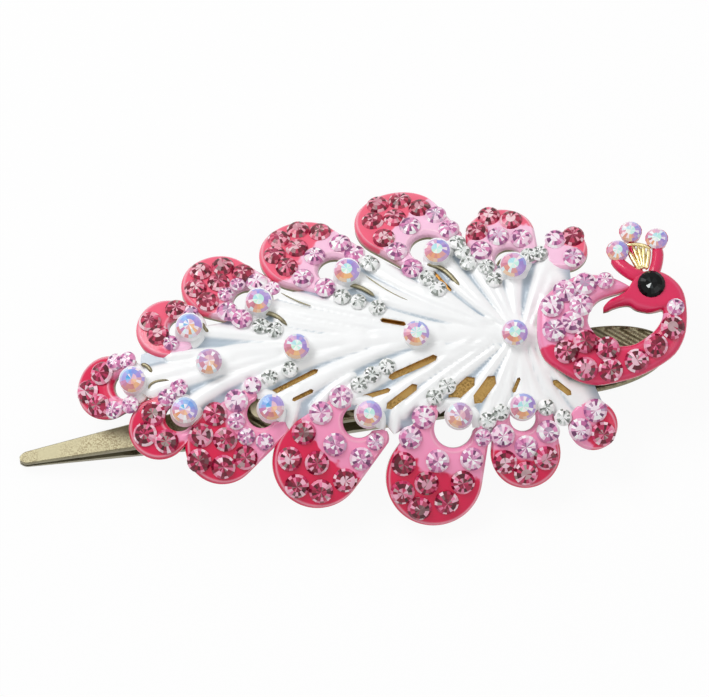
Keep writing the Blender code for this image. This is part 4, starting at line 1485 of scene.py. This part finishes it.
        # The upper lobes' enamel is lighter; its pale was raised to offset the shade that the upper lobes
        # get, which paints light into it.
        upper = PinkEnamel("upper_pink", "fdcbe6", "f4607e", "fdd2e0", rim_highlight_share=0.5).make()
        lower = PinkEnamel("lower_pink", "fb9cc4", "e00c4c", "f9b8cc").make()
        Bench.hand_over(self.web(), Slot.WHITE, [white, floor], "tail_fan")
        Bench.hand_over(self.mounts(), Slot.WHITE, [white, gold])
        Bench.hand_over(self.bare_edges(), Slot.GOLD, [gold])
        for feather in self.feathers:
            is_upper = feather.number in UPPER_FEATHERS
            name = "feather_%02d" % feather.number
            Bench.hand_over(feather.build(), Slot.PINK, [upper if is_upper else lower, gold])
            piece = stones.pave(name + "_stones", feather.stones, LIFTS.bed, is_upper, feather.lean)
            Bench.hand_over(piece, Slot.PINK_STONE, [finishes.pink_stone], name + "_pave")
        for number, text in enumerate(CLEAR_ROWS, 1):
            piece = stones.pave("row_%02d_stones" % number, text, LIFTS.bed, True)
            Bench.hand_over(piece, Slot.CLEAR, [finishes.clear_stone], "clear_row_%02d" % number)
        for number, (pixel, kind) in enumerate(zip(self.big_stones(), BIG_STONE_KINDS), 1):
            name = "big_stone_%02d" % number
            piece = stones.single(name, pixel, self.big_diameter, LIFTS.big_foot, kind)
            Bench.hand_over(piece, Slot.IRIDESCENT, [finishes.rainbow_stone],
                            "ab_stone_%02d" % number)


@dataclass
class Bird:
    """Cast bird with its neck loop, head, beak and crown.

    A section has the pixels of its two edges; a stalk or bar has three pixels and its width.
    """

    sections: str = (
        "629 285 628 288, 620 280 618 291, 608 275 608 294, 592 273 598 298, 577 274 591 305, "
        "562 281 588 311, 548 291 587 317, 538 304 587 321, 536 322 589 326, 537 341 592 330, "
        "544 359 595 334, 560 371 601 338, 578 381 608 342, 596 385 616 345, 616 382 624 345, "
        "637 376 634 343, 657 366 644 337, 674 353 652 331, 683 336 658 323, 685.5 319 661 316, "
        "684.6 301 661 309, 681 288 655 310, 673 278 648 311, 662 271 641 310, 650 269 634 308, "
        "640 271 628 304, 632 279 622 304, 628 287 617 305, 620 293 611 307, 611 297 607 309, "
        "605 302 603 310, 602 306 602 310"
    )
    stones: str = (
        "s 604 282, l 584 285, l 564 292, l 551 307, l 580 306, l 571 323, l 553 331, d 584 342, "
        "d 565 352, d 584 369, d 606 349, d 609 370, d 635 361, d 654 346, d 671 328, s 674 308"
    )
    crown_stones: tuple[Pixel, ...] = ((630, 233), (656, 240), (617, 252))
    crown_diameter: float = 3.4
    eye: Pixel = (650, 285)
    eye_diameter: float = 4.3
    edge: float = 2.5 * MM
    top: float = 3.75 * MM
    shoulder: float = 1.9 * MM
    between: int = 3
    turn_pixel: Pixel = (560.0, 342.0)
    turn_slope: float = 0.25
    breast_share: float = 0.62
    stalks: str = (
        "645 278 628 272 612 257 2.2; 650 278 656 262 656 246 1.9; "
        "641 276 634 258 630 240 1.1"
    )
    stalk_lifts: tuple[float, float] = (2.5, 2.4)
    bars: str = (
        "639 271 634 263 628 252 0.8; 641 270 637 259 632 247 0.7; 642 269 640 258 637 246 0.75;"
        "643 269 643 258 642 246 0.7; 645 270 647 260 648 249 0.75; 625 246 637 245 650 249 0.6"
    )
    bar_lifts: tuple[float, float] = (2.9, 3.0)
    cup: Cup = Cup(((1.2, 1.7), (1.55, 2.1), (1.72, 2.9), (1.8, 3.3), (1.5, 3.3)), 16)

    def pairs(self) -> Pairs:
        """Strip along the bird, smoothed between the sections that were read.

        Returns:
            Its edge pairs.
        """
        rows = rows_of(self.sections, ",")
        smooth = []
        for i in range(len(rows) - 1):
            near = [rows[max(0, min(len(rows) - 1, i + k))] for k in (-1, 0, 1, 2)]
            for step in range(self.between):
                t = step / self.between
                smooth.append([0.5 * (2 * b + (c - a) * t + (2 * a - 5 * b + 4 * c - d) * t * t
                                      + (3 * b - a - 3 * c + d) * t ** 3)
                               for a, b, c, d in zip(*near)])
        smooth.append(rows[-1])
        return [(LAYOUT.flat(row[:2], LIFTS.bird_layout), LAYOUT.flat(row[2:], LIFTS.bird_layout))
                for row in smooth]

    def tint(self, place: Vector) -> float:
        """Distance past the line where the breast's tint turns.

        Args:
            place: Place of the flat layout.

        Returns:
            The distance in millimetres, positive on the deep side.
        """
        formed = LAYOUT.formed(place.x, place.y, LIFTS.bird_layout)
        pixel = LAYOUT.picture(formed) - Vector(self.turn_pixel)
        return (pixel.y + self.turn_slope * pixel.x) * LAYOUT.pixel / MM

    def build(self) -> Thing:
        """Rounded body with its tint; the neck and head are deep throughout.

        Returns:
            The body.
        """
        band = Band(self.pairs(), LIFTS.bird_floor, self.edge, self.top, shoulder=self.shoulder)
        thing, places = band.build("bird")
        breast = self.breast_share * len(places)
        Bench.note(thing, "tint", [[self.tint(place) if i < breast else DEEP_TINT for place in row]
                                   for i, row in enumerate(places)])
        return Bench.smooth(thing, degrees=70)

    def rods(self, text: str, lifts: tuple[float, float]) -> list[Thing]:
        """Bars from their pixels and widths."""
        return [Rod(pixels, width, *lifts).build("rod") for *pixels, width in rows_of(text)]

    def crest(self) -> tuple[Thing, Thing]:
        """Pink outer stalks with the stones' cups, and the gold bars between them.

        Returns:
            The stalks and the bars.
        """
        pink = self.rods(self.stalks, self.stalk_lifts)
        pink += [self.cup.build("cup", pixel, tint=DEEP_TINT, rim=0.0)
                 for pixel in self.crown_stones]
        gold = self.rods(self.bars, self.bar_lifts)
        stalks, bars = Bench.joined("crown_stalks", pink), Bench.joined("crown_bars", gold)
        return Bench.smooth(stalks, degrees=60), Bench.smooth(bars, degrees=60)

    def dress(self, stones: Stones, finishes: Finishes) -> None:
        """Builds the bird with its stones and crown and hands all of it over.

        Args:
            stones: Setter of the stones.
            finishes: Shared finishes.
        """
        pink = PinkEnamel("bird_pink", "f8a0c8", "e0245a", "ee6a92", rim_highlight_share=0.35).make()
        Bench.hand_over(self.build(), Slot.PINK, [pink, finishes.gold], "bird_body")
        stalks, bars = self.crest()
        Bench.hand_over(stalks, Slot.PINK, [pink])
        yellow = Metal("crown_gold", "e2d2a0", "a8915c",
                       roughness=0.22, fine=3000.0, pit=0.01 * MM).make()
        Bench.hand_over(bars, Slot.GOLD, [yellow])
        piece = stones.pave("bird_stones", self.stones, LIFTS.bird_stones, False)
        Bench.hand_over(piece, Slot.PINK_STONE, [finishes.pink_stone], "bird_pave")
        for number, pixel in enumerate(self.crown_stones, 1):
            name = "crown_gem_%d" % number
            piece = stones.single(name, pixel, self.crown_diameter, LIFTS.big_foot, MINT)
            Bench.hand_over(piece, Slot.IRIDESCENT, [finishes.rainbow_stone],
                            "crown_stone_%d" % number)
        foot = LIFTS.bird_bed - stones.bed_depth
        piece = stones.single("bird_eye", self.eye, self.eye_diameter, foot, BLACK)
        black = StoneFinish("black_glass", roughness=0.1, ior=1.25, coat=0.0).make()
        Bench.hand_over(piece, Slot.BLACK, [black], "eye_stone")


@dataclass
class Clip:
    """Two jaws of bent sheet, the pin, the spring and the solder, with sizes in millimetres."""

    prong_x: float = -50.0
    tab_x: float = 52.2
    lower_tab_x: float = 43.0
    sheet: float = 0.7
    prong_half: float = 0.95
    jaw_half: float = 3.6
    tab_half: float = 4.7
    flare: float = 46.0
    prong_round: float = 1.2
    prong_top: float = 2.2
    crest_top: float = 8.6
    hinge_top: float = 8.2
    tab_top: float = 9.6
    skirt: float = 1.7
    wall: float = 2.0
    tooth: float = 0.5
    tooth_pitch: float = 4.0
    tooth_from: float = -34.0
    tooth_to: float = 6.0
    lip: float = 0.15
    leaf: float = 12.22
    leaf_end: float = 0.08
    hinge_x: float = 27.0
    hinge_z: float = 4.5
    pin: float = 0.75
    pin_head: float = 1.3
    head_length: float = 0.5
    ear: float = 2.0
    ear_thickness: float = 0.8
    ear_clearance: float = 0.3
    wire: float = 0.35
    coil: float = 1.75
    coil_pitch: float = 1.25
    coil_turns: float = 3.5
    leg: float = 11.0
    station: float = 0.25
    top_points: int = 41
    rib_pitch: float = 1.3
    rib_height: float = 0.24
    leaf_swell: float = 0.45
    rib_slant: float = math.radians(50.0)
    swell_length: float = 4.0
    prong_blunt: float = 0.12
    tab_power: float = 1.3
    wall_past: float = 9.0
    wall_fade: float = 4.0
    rib_from: float = -22.0
    rib_fade: float = 5.0
    thinnest: float = 0.1
    corner: float = 0.35
    corner_share: float = 0.4
    bevel: float = 0.3
    chamfer: float = 0.12
    ear_steps: int = 16
    ear_sink: float = 0.02
    narrow_past: float = 5.0
    head_round: Profile = ((0.5, 0.0), (1.05, 0.1))
    head_edge: float = 0.3
    pin_sides: int = 24
    coil_steps: int = 28
    leg_gap: float = 0.2
    leg_steps: tuple[int, int] = (8, 6)
    wire_sides: int = 10
    pad: Profile = ((1.5, -0.25), (1.4, 0.0), (1.2, 0.3), (1.15, 0.6), (1.4, 1.0), (1.6, 1.3))
    pad_sides: int = 20
    pads: tuple[tuple[str, float], ...] = (
        ("solder_joint_front", -12.0), ("solder_joint_rear", 18.0),
    )

    def half_width(self, x: float, tab_end: float) -> float:
        """Half width of a jaw.

        Args:
            x: Place along the jaw.
            tab_end: Place of the end of the jaw's tab.

        Returns:
            The half width there.
        """
        share = min(1.0, (x - self.prong_x) / self.flare)
        width = self.prong_half + (self.jaw_half - self.prong_half) * share
        short = max(0.0, 1 - (x - self.prong_x) / self.prong_round)
        width *= math.sqrt(max(self.prong_blunt, 1 - short * short))
        waist = self.hinge_x - 4 * self.ear
        if x > waist:
            width += (self.tab_half - self.jaw_half) * min(1.0, (x - waist) / (2 * self.ear))
        past_ear = x - self.hinge_x - self.ear
        if tab_end == self.tab_x and past_ear > 0:
            width += self.leaf_swell * min(1.0, past_ear / self.swell_length)
        leaf = tab_end - self.leaf
        if x > leaf:
            width *= math.sqrt(max(self.leaf_end, 1 - ((x - leaf) / self.leaf) ** 2))
        return width

    def top(self, x: float) -> float:
        """Height of the upper jaw's top.

        Args:
            x: Place along the jaw.

        Returns:
            The height there.
        """
        if x < 0:
            share = math.sin(math.pi / 2 * (x - self.prong_x) / -self.prong_x)
            return self.prong_top + (self.crest_top - self.prong_top) * share
        if x < self.hinge_x:
            return self.crest_top + (self.hinge_top - self.crest_top) * (x / self.hinge_x) ** 2
        share = (x - self.hinge_x) / (self.tab_x - self.hinge_x)
        return self.hinge_top + (self.tab_top - self.hinge_top) * share ** self.tab_power

    def wall_depth(self, x: float, full: float) -> float:
        """Depth of a jaw's walls, which run out at the prong and behind the hinge.

        Args:
            x: Place along the jaw.
            full: Full depth of the walls.

        Returns:
            The depth there.
        """
        least = self.sheet + self.lip
        to_end = (self.hinge_x + self.wall_past - x) / self.wall_fade
        share = max(0.0, min(1.0, (x - self.prong_x) / (self.flare / 2), to_end))
        return least + (full - least) * share

    def ripple(self, x: float, y: float) -> float:
        """Height of the pressed ribs; none on the prong.

        Args:
            x: Place along the jaw.
            y: Place across the jaw.

        Returns:
            The height there, nought or less.
        """
        fade = max(0.0, min(1.0, (x - self.rib_from) / self.rib_fade))
        phase = (x * math.cos(self.rib_slant) + y * math.sin(self.rib_slant)) / self.rib_pitch
        return -fade * self.rib_height * (0.5 + 0.5 * math.cos(2 * math.pi * phase))

    def channel(self, x: float, half: float, outer: float, edge: float,
                ribbed: bool) -> list[Vector]:
        """Section of bent sheet with rounded corners.

        Args:
            x: Place along the jaw.
            half: Half width.
            outer: Height of the flat.
            edge: Height of the walls' edges.
            ribbed: True if the flat has pressed ribs.

        Returns:
            Places round the section.
        """
        way = 1 if edge < outer else -1
        inner = outer - way * self.sheet
        inside = max(half - self.sheet, self.thinnest)
        corner = min(self.corner, half * self.corner_share, abs(outer - edge) / 2)
        bevel = corner * self.bevel
        last = self.top_points - 1
        ring = [(half, edge), (half, outer - way * corner)]
        for i in range(self.top_points):
            y = (half - bevel) * (1 - 2 * i / last)
            drop = bevel if i in (0, last) else 0.0
            press = self.ripple(x, y) if ribbed and 1 < i < last - 1 else 0.0
            ring.append((y, outer - way * (drop - press)))
        ring += [(-half, outer - way * corner), (-half, edge), (-inside, edge), (-inside, inner),
                 (inside, inner), (inside, edge)]
        return [mm(x, y, z) for y, z in ring]

    def places(self, end: float) -> list[float]:
        """Places along a jaw from the prong to a tab's end."""
        count = round((end - self.prong_x) / self.station)
        return [self.prong_x + (end - self.prong_x) * i / count for i in range(count + 1)]

    def about_pin(self, radius: float, turn: float, y: float) -> Vector:
        """Place in millimetres at a radius and a turn about the hinge's axis."""
        x, z = self.hinge_x + radius * math.cos(turn), self.hinge_z + radius * math.sin(turn)
        return Vector((x, y, z))

    def ear_plate(self, inner: float, side: int, upward: bool) -> Thing:
        """Hinge ear with a round end.

        Args:
            inner: Distance of its inner face from the middle.
            side: One or minus one.
            upward: True for an ear of the upper jaw.

        Returns:
            The ear.
        """
        foot = self.hinge_top - self.sheet / 2 if upward else self.sheet / 2
        first = math.pi if upward else 0.0
        cut, thick = self.chamfer, self.ear_thickness
        rings = []
        for depth, shrink in ((0.0, cut), (cut, 0.0), (thick - cut, 0.0), (thick, cut)):
            y = side * (inner + depth)
            ring = [self.about_pin(self.ear - shrink, math.pi * k / self.ear_steps + first, y)
                    for k in range(self.ear_steps + 1)]
            ring += [Vector((ring[k].x, y, foot)) for k in (-1, 0)]
            rings.append([place * MM for place in ring])
        return Bench.loft("ear", rings)

    def jaw(self, name: str, rings: Rings, inner: float, upward: bool) -> Thing:
        """A jaw's sheet with its two ears, as one piece.

        Args:
            name: Name of the piece.
            rings: Sections of the sheet.
            inner: Distance of the ears' inner faces from the middle.
            upward: True for the upper jaw.

        Returns:
            The jaw.
        """
        things = [Bench.loft("jaw", rings)]
        things += [self.ear_plate(inner, side, upward) for side in (1, -1)]
        return Bench.smooth(Bench.joined(name, things), degrees=40)

    def upper_jaw(self) -> Thing:
        """Arched jaw with its ears and its ribbed leaf-shaped tab.

        Returns:
            The jaw.
        """
        rings = []
        for x in self.places(self.tab_x):
            top = self.top(x)
            edge = top - self.wall_depth(x, self.skirt)
            rings.append(self.channel(x, self.half_width(x, self.tab_x), top, edge, True))
        inner = self.tab_half - self.ear_thickness - self.ear_sink
        return self.jaw("clip_upper_jaw", rings, inner, True)

    def lower_jaw(self) -> Thing:
        """Flat jaw with toothed walls, its ears and its tab.

        Returns:
            The jaw.
        """
        narrow = self.tab_half - self.ear_thickness - self.ear_clearance
        rings = []
        for x in self.places(self.lower_tab_x):
            height = self.wall_depth(x, self.wall)
            if self.tooth_from <= x <= self.tooth_to:
                share = (x - self.tooth_from) / self.tooth_pitch % 1.0
                height -= self.tooth * (1 - abs(2 * share - 1))
            half = self.half_width(x, self.lower_tab_x)
            if x <= self.hinge_x + self.narrow_past:
                half = min(narrow, half)
            rings.append(self.channel(x, half, 0.0, height, False))
        return self.jaw("clip_lower_jaw", rings, narrow - self.ear_thickness - self.ear_sink, False)

    def hinge_pin(self) -> Thing:
        """Pin with rounded heads.

        Returns:
            The pin.
        """
        neck = self.tab_half + self.ear_clearance / 2
        end = neck + self.head_length
        half = [(radius, end - step) for radius, step in self.head_round]
        half += [(self.pin_head, end - self.head_edge), (self.pin_head, neck), (self.pin, neck)]
        rings = [[self.about_pin(radius, turn, y) * MM for turn in turns(self.pin_sides)]
                 for radius, y in half + [(radius, -y) for radius, y in reversed(half)]]
        return Bench.smooth(Bench.loft("clip_pin", rings), degrees=40)

    def spring_line(self) -> list[Vector]:
        """Middle line of the spring: a leg, the coil, and the other leg.

        Returns:
            Places along it in millimetres.
        """
        half = self.coil_turns * self.coil_pitch / 2
        count = int(self.coil_turns * self.coil_steps)
        reach = self.hinge_x + self.leg
        rest = self.sheet + self.wire + self.leg_gap
        start = Vector((reach, -half, self.top(reach) - rest - self.lip))
        coil = []
        for i in range(count + 1):
            turn = math.pi / 2 + 2 * math.pi * self.coil_turns * i / count
            coil.append(self.about_pin(self.coil, turn, -half + 2 * half * i / count))
        low = self.hinge_z - self.coil
        lead = Vector((self.hinge_x + self.coil, half, (low * 2 + rest) / 3))
        end = Vector((reach, half, rest))
        first, last = self.leg_steps
        points = [start.lerp(coil[0], i / first) for i in range(first)] + coil
        points.append(coil[-1].lerp(lead, 0.5))
        return points + [lead.lerp(end, i / last) for i in range(last + 1)]

    def spring(self) -> Thing:
        """Round wire along the spring's middle line.

        Returns:
            The spring.
        """
        points = self.spring_line()
        side = Vector((0, 1, 0))
        rings = []
        for before, here, after in zip(points[:1] + points, points, points[1:] + points[-1:]):
            way = (after - before).normalized()
            out = way.cross(side).normalized()
            over = out.cross(way).normalized()
            rings.append([(here + self.wire * (out * math.cos(turn) + over * math.sin(turn))) * MM
                          for turn in turns(self.wire_sides)])
        return Bench.smooth(Bench.loft("clip_spring", rings), degrees=50)

    def solder(self, name: str, x: float) -> Thing:
        """Flowed pad of solder between the jaw and the tail.

        Args:
            name: CAD node that the pad stands for.
            x: Place along the clip in millimetres.

        Returns:
            The pad.
        """
        low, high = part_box(name)
        rings = []
        for radius, share in self.pad:
            seat = Matrix.Translation((x * MM, 0, low.z + (high.z - low.z) * share))
            rings.append(round_ring(seat, radius * MM, self.pad_sides))
        return Bench.smooth(Bench.loft(name + "_pad", rings), degrees=60)

    def dress(self, finishes: Finishes) -> None:
        """Builds the clip with its hinge and spring and hands all of it over.

        Args:
            finishes: Shared finishes.
        """
        gold = finishes.gold
        steel = Metal("spring_steel", "c9c9c6", "8e8e8c",
                      roughness=0.3, fine=2500.0, pit=0.02 * MM).make()
        tin = Metal("plated_solder", "b9b396", "827c60",
                    roughness=0.45, fine=1500.0, pit=0.06 * MM).make()
        Bench.hand_over(self.upper_jaw(), Slot.GOLD, [gold], "upper_jaw")
        Bench.hand_over(self.lower_jaw(), Slot.GOLD, [gold], "lower_jaw", body=Body.BASE)
        Bench.hand_over(self.hinge_pin(), Slot.STEEL, [steel], "hinge_pin", body=Body.BASE)
        for name, x in self.pads:
            Bench.hand_over(self.solder(name, x), Slot.SOLDER, [tin], name)
        spring = self.spring()
        spring.data.materials.append(steel)
        Bench.strip(spring)
        low, high = 1.3 * MM, 7.4 * MM
        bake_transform(spring, Body.BASE.value, Body.ORNAMENT.value,
                 (self.hinge_x * MM, 0, low), (self.hinge_x * MM, 0, high))
        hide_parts("torsion_spring")
        LOG.info("%s: %d faces between the bodies", spring.name, len(spring.data.polygons))


FEATHERS = [
    Feather(1, (107, 387), 5.1, (134, 380), 4.0, (127, 385), 2.1,
            ((111, 354), (118, 386), (110, 420)),
            "d 104 374, d 90 392, d 101 406, s 117 363, s 129 361, s 116 410, s 132 405"),
    Feather(2, (168, 328), 5.1, (190, 327), 3.8, (183, 329), 2.1,
            ((192, 304), (172, 328), (166, 348)),
            "d 151 323, d 177 311, d 159 336, s 172 344, s 191 314"),
    Feather(3, (218, 285), 5.9, (259, 302), 4.6, (248, 301), 2.3,
            ((258, 272), (232, 288), (214, 314)),
            "d 201 273, d 223 268, d 243 275, d 196 290, d 219 284, d 208 303, s 226 296, "
            "s 238 286, l 228 313, l 242 320, l 257 284, s 273 290"),
    Feather(4, (302, 253), 6.9, (347, 272), 5.0, (334, 270), 2.5,
            ((336, 230), (306, 255), (283, 283)),
            "d 279 241, d 298 232, d 320 234, d 275 257, d 297 250, d 287 269, l 340 245, "
            "l 315 258, l 303 280, l 325 289, l 355 256",
            lean=0.12),
    Feather(5, (398, 221), 6.9, (437, 252), 5.2, (427, 248), 2.7,
            ((432, 198), (404, 222), (378, 256)),
            "d 378 207, d 400 203, d 420 210, d 373 223, d 395 220, d 384 240, l 436 217, "
            "l 410 228, l 449 231, l 397 253, l 412 270",
            lean=0.2, trim=0.02),
    Feather(6, (500, 236), 5.6, (513, 266), 4.4, (508, 259), 2.1,
            ((466, 246), (492, 229), (527, 228)),
            "d 489 218, d 511 222, d 477 233, l 498 238, l 521 240, l 481 252",
            lean=0.22),
    Feather(7, (565, 250), 3.6, None, 0, None, 0,
            ((552, 232), (565, 246), (586, 258)),
            "l 555 241, d 573 238, l 573 259",
            root=(552, 260), lean=0.2),
    Feather(8, (592, 425), 4.0, None, 0, None, 0,
            ((608, 408), (592, 428), (588, 452)),
            "l 594 410, l 579 429, d 602 433",
            root=(578, 414)),
    Feather(9, (525, 453), 5.6, (522, 406), 4.6, (522, 418), 2.0,
            ((491, 447), (525, 460), (560, 446)),
            "l 502 435, l 525 446, l 547 431, d 504 461, d 525 472, d 545 457"),
    Feather(10, (434, 478), 7.66, (459, 415), 5.2, (453, 428), 3.0,
            ((391, 449), (436, 471), (482, 477)),
            "l 423 417, l 410 437, d 403 463, d 426 482, l 437 460, l 471 458, d 462 481, "
            "d 402 491, d 419 507, d 446 501, s 482 437"),
    Feather(11, (318, 462), 7.2, (369, 413), 5.2, (359, 421), 2.5,
            ((302, 410), (318, 446), (362, 478)),
            "d 304 432, d 290 458, d 317 462, d 297 485, d 321 490, d 345 479, l 341 397, "
            "l 321 413, l 335 444, l 361 458, s 375 441"),
    Feather(12, (223, 446), 5.9, (272, 407), 4.8, (262, 413), 2.2,
            ((212, 398), (232, 430), (262, 460)),
            "d 216 414, d 202 435, d 226 439, d 200 460, d 224 466, d 246 457, l 237 401, "
            "s 253 386, s 237 421, s 247 436, s 265 441"),
    Feather(13, (160, 428), 4.9, (186, 410), 3.8, (180, 417), 2.1,
            ((156, 392), (172, 418), (184, 446)),
            "d 155 414, d 147 434, d 168 441, s 168 398, s 180 388"),
]
CLEAR_ROWS = (
    "c 261 327, c 275 331", "c 342 298, c 358 303, c 377 309", "c 368 264, c 371 266",
    "c 427 279, c 438 290", "c 457 244, c 463 254, c 468 265", "c 486 268, c 494 281",
    "c 528 257, c 539 255", "c 545 407, c 562 417", "c 487 420, c 500 412", "c 434 397, c 447 386",
    "c 359 385, c 372 375, c 387 367", "c 270 378, c 290 370",
)
UPPER_FEATHERS = range(2, 8)
BIG_STONE_KINDS = (
    AZURE, AZURE, MINT, MINT, MINT, MINT, MINT, ROSE, MINT, AZURE, AZURE,
    ROSE, MINT, MINT, MINT,
)


@dataclass
class Studio:
    """Camera, lamps, floor and world."""

    distance: float = 2.0
    picture_width: float = 709.0
    sensor: float = 36.0
    near: float = 0.05
    far: float = 20.0
    floor_size: float = 6.0
    floor_grey: float = 0.9
    floor_glow: float = 0.93
    world_light: float = 0.48
    key_power: float = 2.4
    fill_power: float = 0.55

    def aim(self, name: str, data: bpy.types.ID, place: Vector, way: Vector) -> Thing:
        """Puts a camera or a lamp in the scene.

        Args:
            name: Name of the object.
            data: Camera or lamp.
            place: Place in the row frame.
            way: Direction in which it looks.

        Returns:
            The object.
        """
        thing = bpy.data.objects.new(name, data)
        bpy.context.scene.collection.objects.link(thing)
        thing.location = place
        thing.rotation_mode = "QUATERNION"
        thing.rotation_quaternion = way.to_track_quat("-Z", "Y")
        return thing

    def camera(self) -> None:
        """Camera at the picture's viewing angle, far off with a long lens."""
        right, up = LAYOUT.axes()
        back = right.cross(up).normalized()
        across = (LAYOUT.centre[0] - LAYOUT.origin[0]) * LAYOUT.pixel
        high = (LAYOUT.origin[1] - LAYOUT.centre[1]) * LAYOUT.pixel
        data = bpy.data.cameras.new("camera")
        data.sensor_width = self.sensor
        data.lens = self.sensor * self.distance / (self.picture_width * LAYOUT.pixel)
        data.clip_start, data.clip_end = self.near, self.far
        place = right * across + up * high + back * self.distance
        bpy.context.scene.camera = self.aim("camera", data, place, -back)

    def lamp(self, name: str, place: tuple[float, float, float], size: float, power: float) -> None:
        """Soft square lamp that faces the object.

        Args:
            name: Name of the lamp.
            place: Place in the row frame.
            size: Side of the lamp.
            power: Power in watts.
        """
        data = bpy.data.lights.new(name, "AREA")
        data.size, data.energy = size, power
        self.aim(name, data, Vector(place), -Vector(place))

    def floor(self) -> None:
        """Pale floor that shows white to the camera and keeps the shadow."""
        bpy.ops.object.select_all(action="DESELECT")
        bpy.ops.mesh.primitive_plane_add(size=self.floor_size, location=(0, 0, 0))
        thing = bpy.context.object
        thing.name = "floor"
        shade = Shade.material("floor_white")
        nodes = shade.tree.nodes
        grey = (self.floor_grey, self.floor_grey, self.floor_grey, 1)
        thing.data.materials.append(shade.surface(base_color=grey, roughness=0.6))
        mix = shade.node("ShaderNodeMixShader", {
            "Fac": shade.maths("MULTIPLY", shade.seen(), self.floor_glow),
            1: nodes["Principled BSDF"].outputs["BSDF"],
            2: shade.node("ShaderNodeEmission", {}).outputs["Emission"],
        })
        shade.feed(nodes["Material Output"].inputs["Surface"], mix.outputs["Shader"])

    def world(self) -> None:
        """White world for the camera and for reflections, and soft light for the rest."""
        world = bpy.data.worlds.new("studio")
        bpy.context.scene.world = world
        shade = Shade(world)
        feeds = {"Value": shade.seen(), "To Min": self.world_light}
        strength = shade.node("ShaderNodeMapRange", feeds).outputs["Result"]
        background = shade.tree.nodes["Background"].inputs
        shade.feed(background["Strength"], strength)
        shade.feed(background["Color"], (1, 1, 1, 1))

    def build(self) -> None:
        """Sets up the whole studio."""
        bpy.context.scene.view_settings.view_transform = "Standard"
        self.camera()
        self.world()
        self.floor()
        self.lamp("key", (-0.25, 0.35, 0.55), size=0.35, power=self.key_power)
        self.lamp("fill", (0.4, -0.25, 0.5), size=0.4, power=self.fill_power)


def main() -> None:
    """Builds the clip, the tail, the bird and the studio, in that order."""
    logging.basicConfig(level=logging.INFO, format="%(message)s")
    finishes = Finishes.make()
    stones = Stones(StoneCutter())
    Clip().dress(finishes)
    Tail(FEATHERS).dress(stones, finishes)
    Bird().dress(stones, finishes)
    Studio().build()


if __name__ == "__main__":
    main()
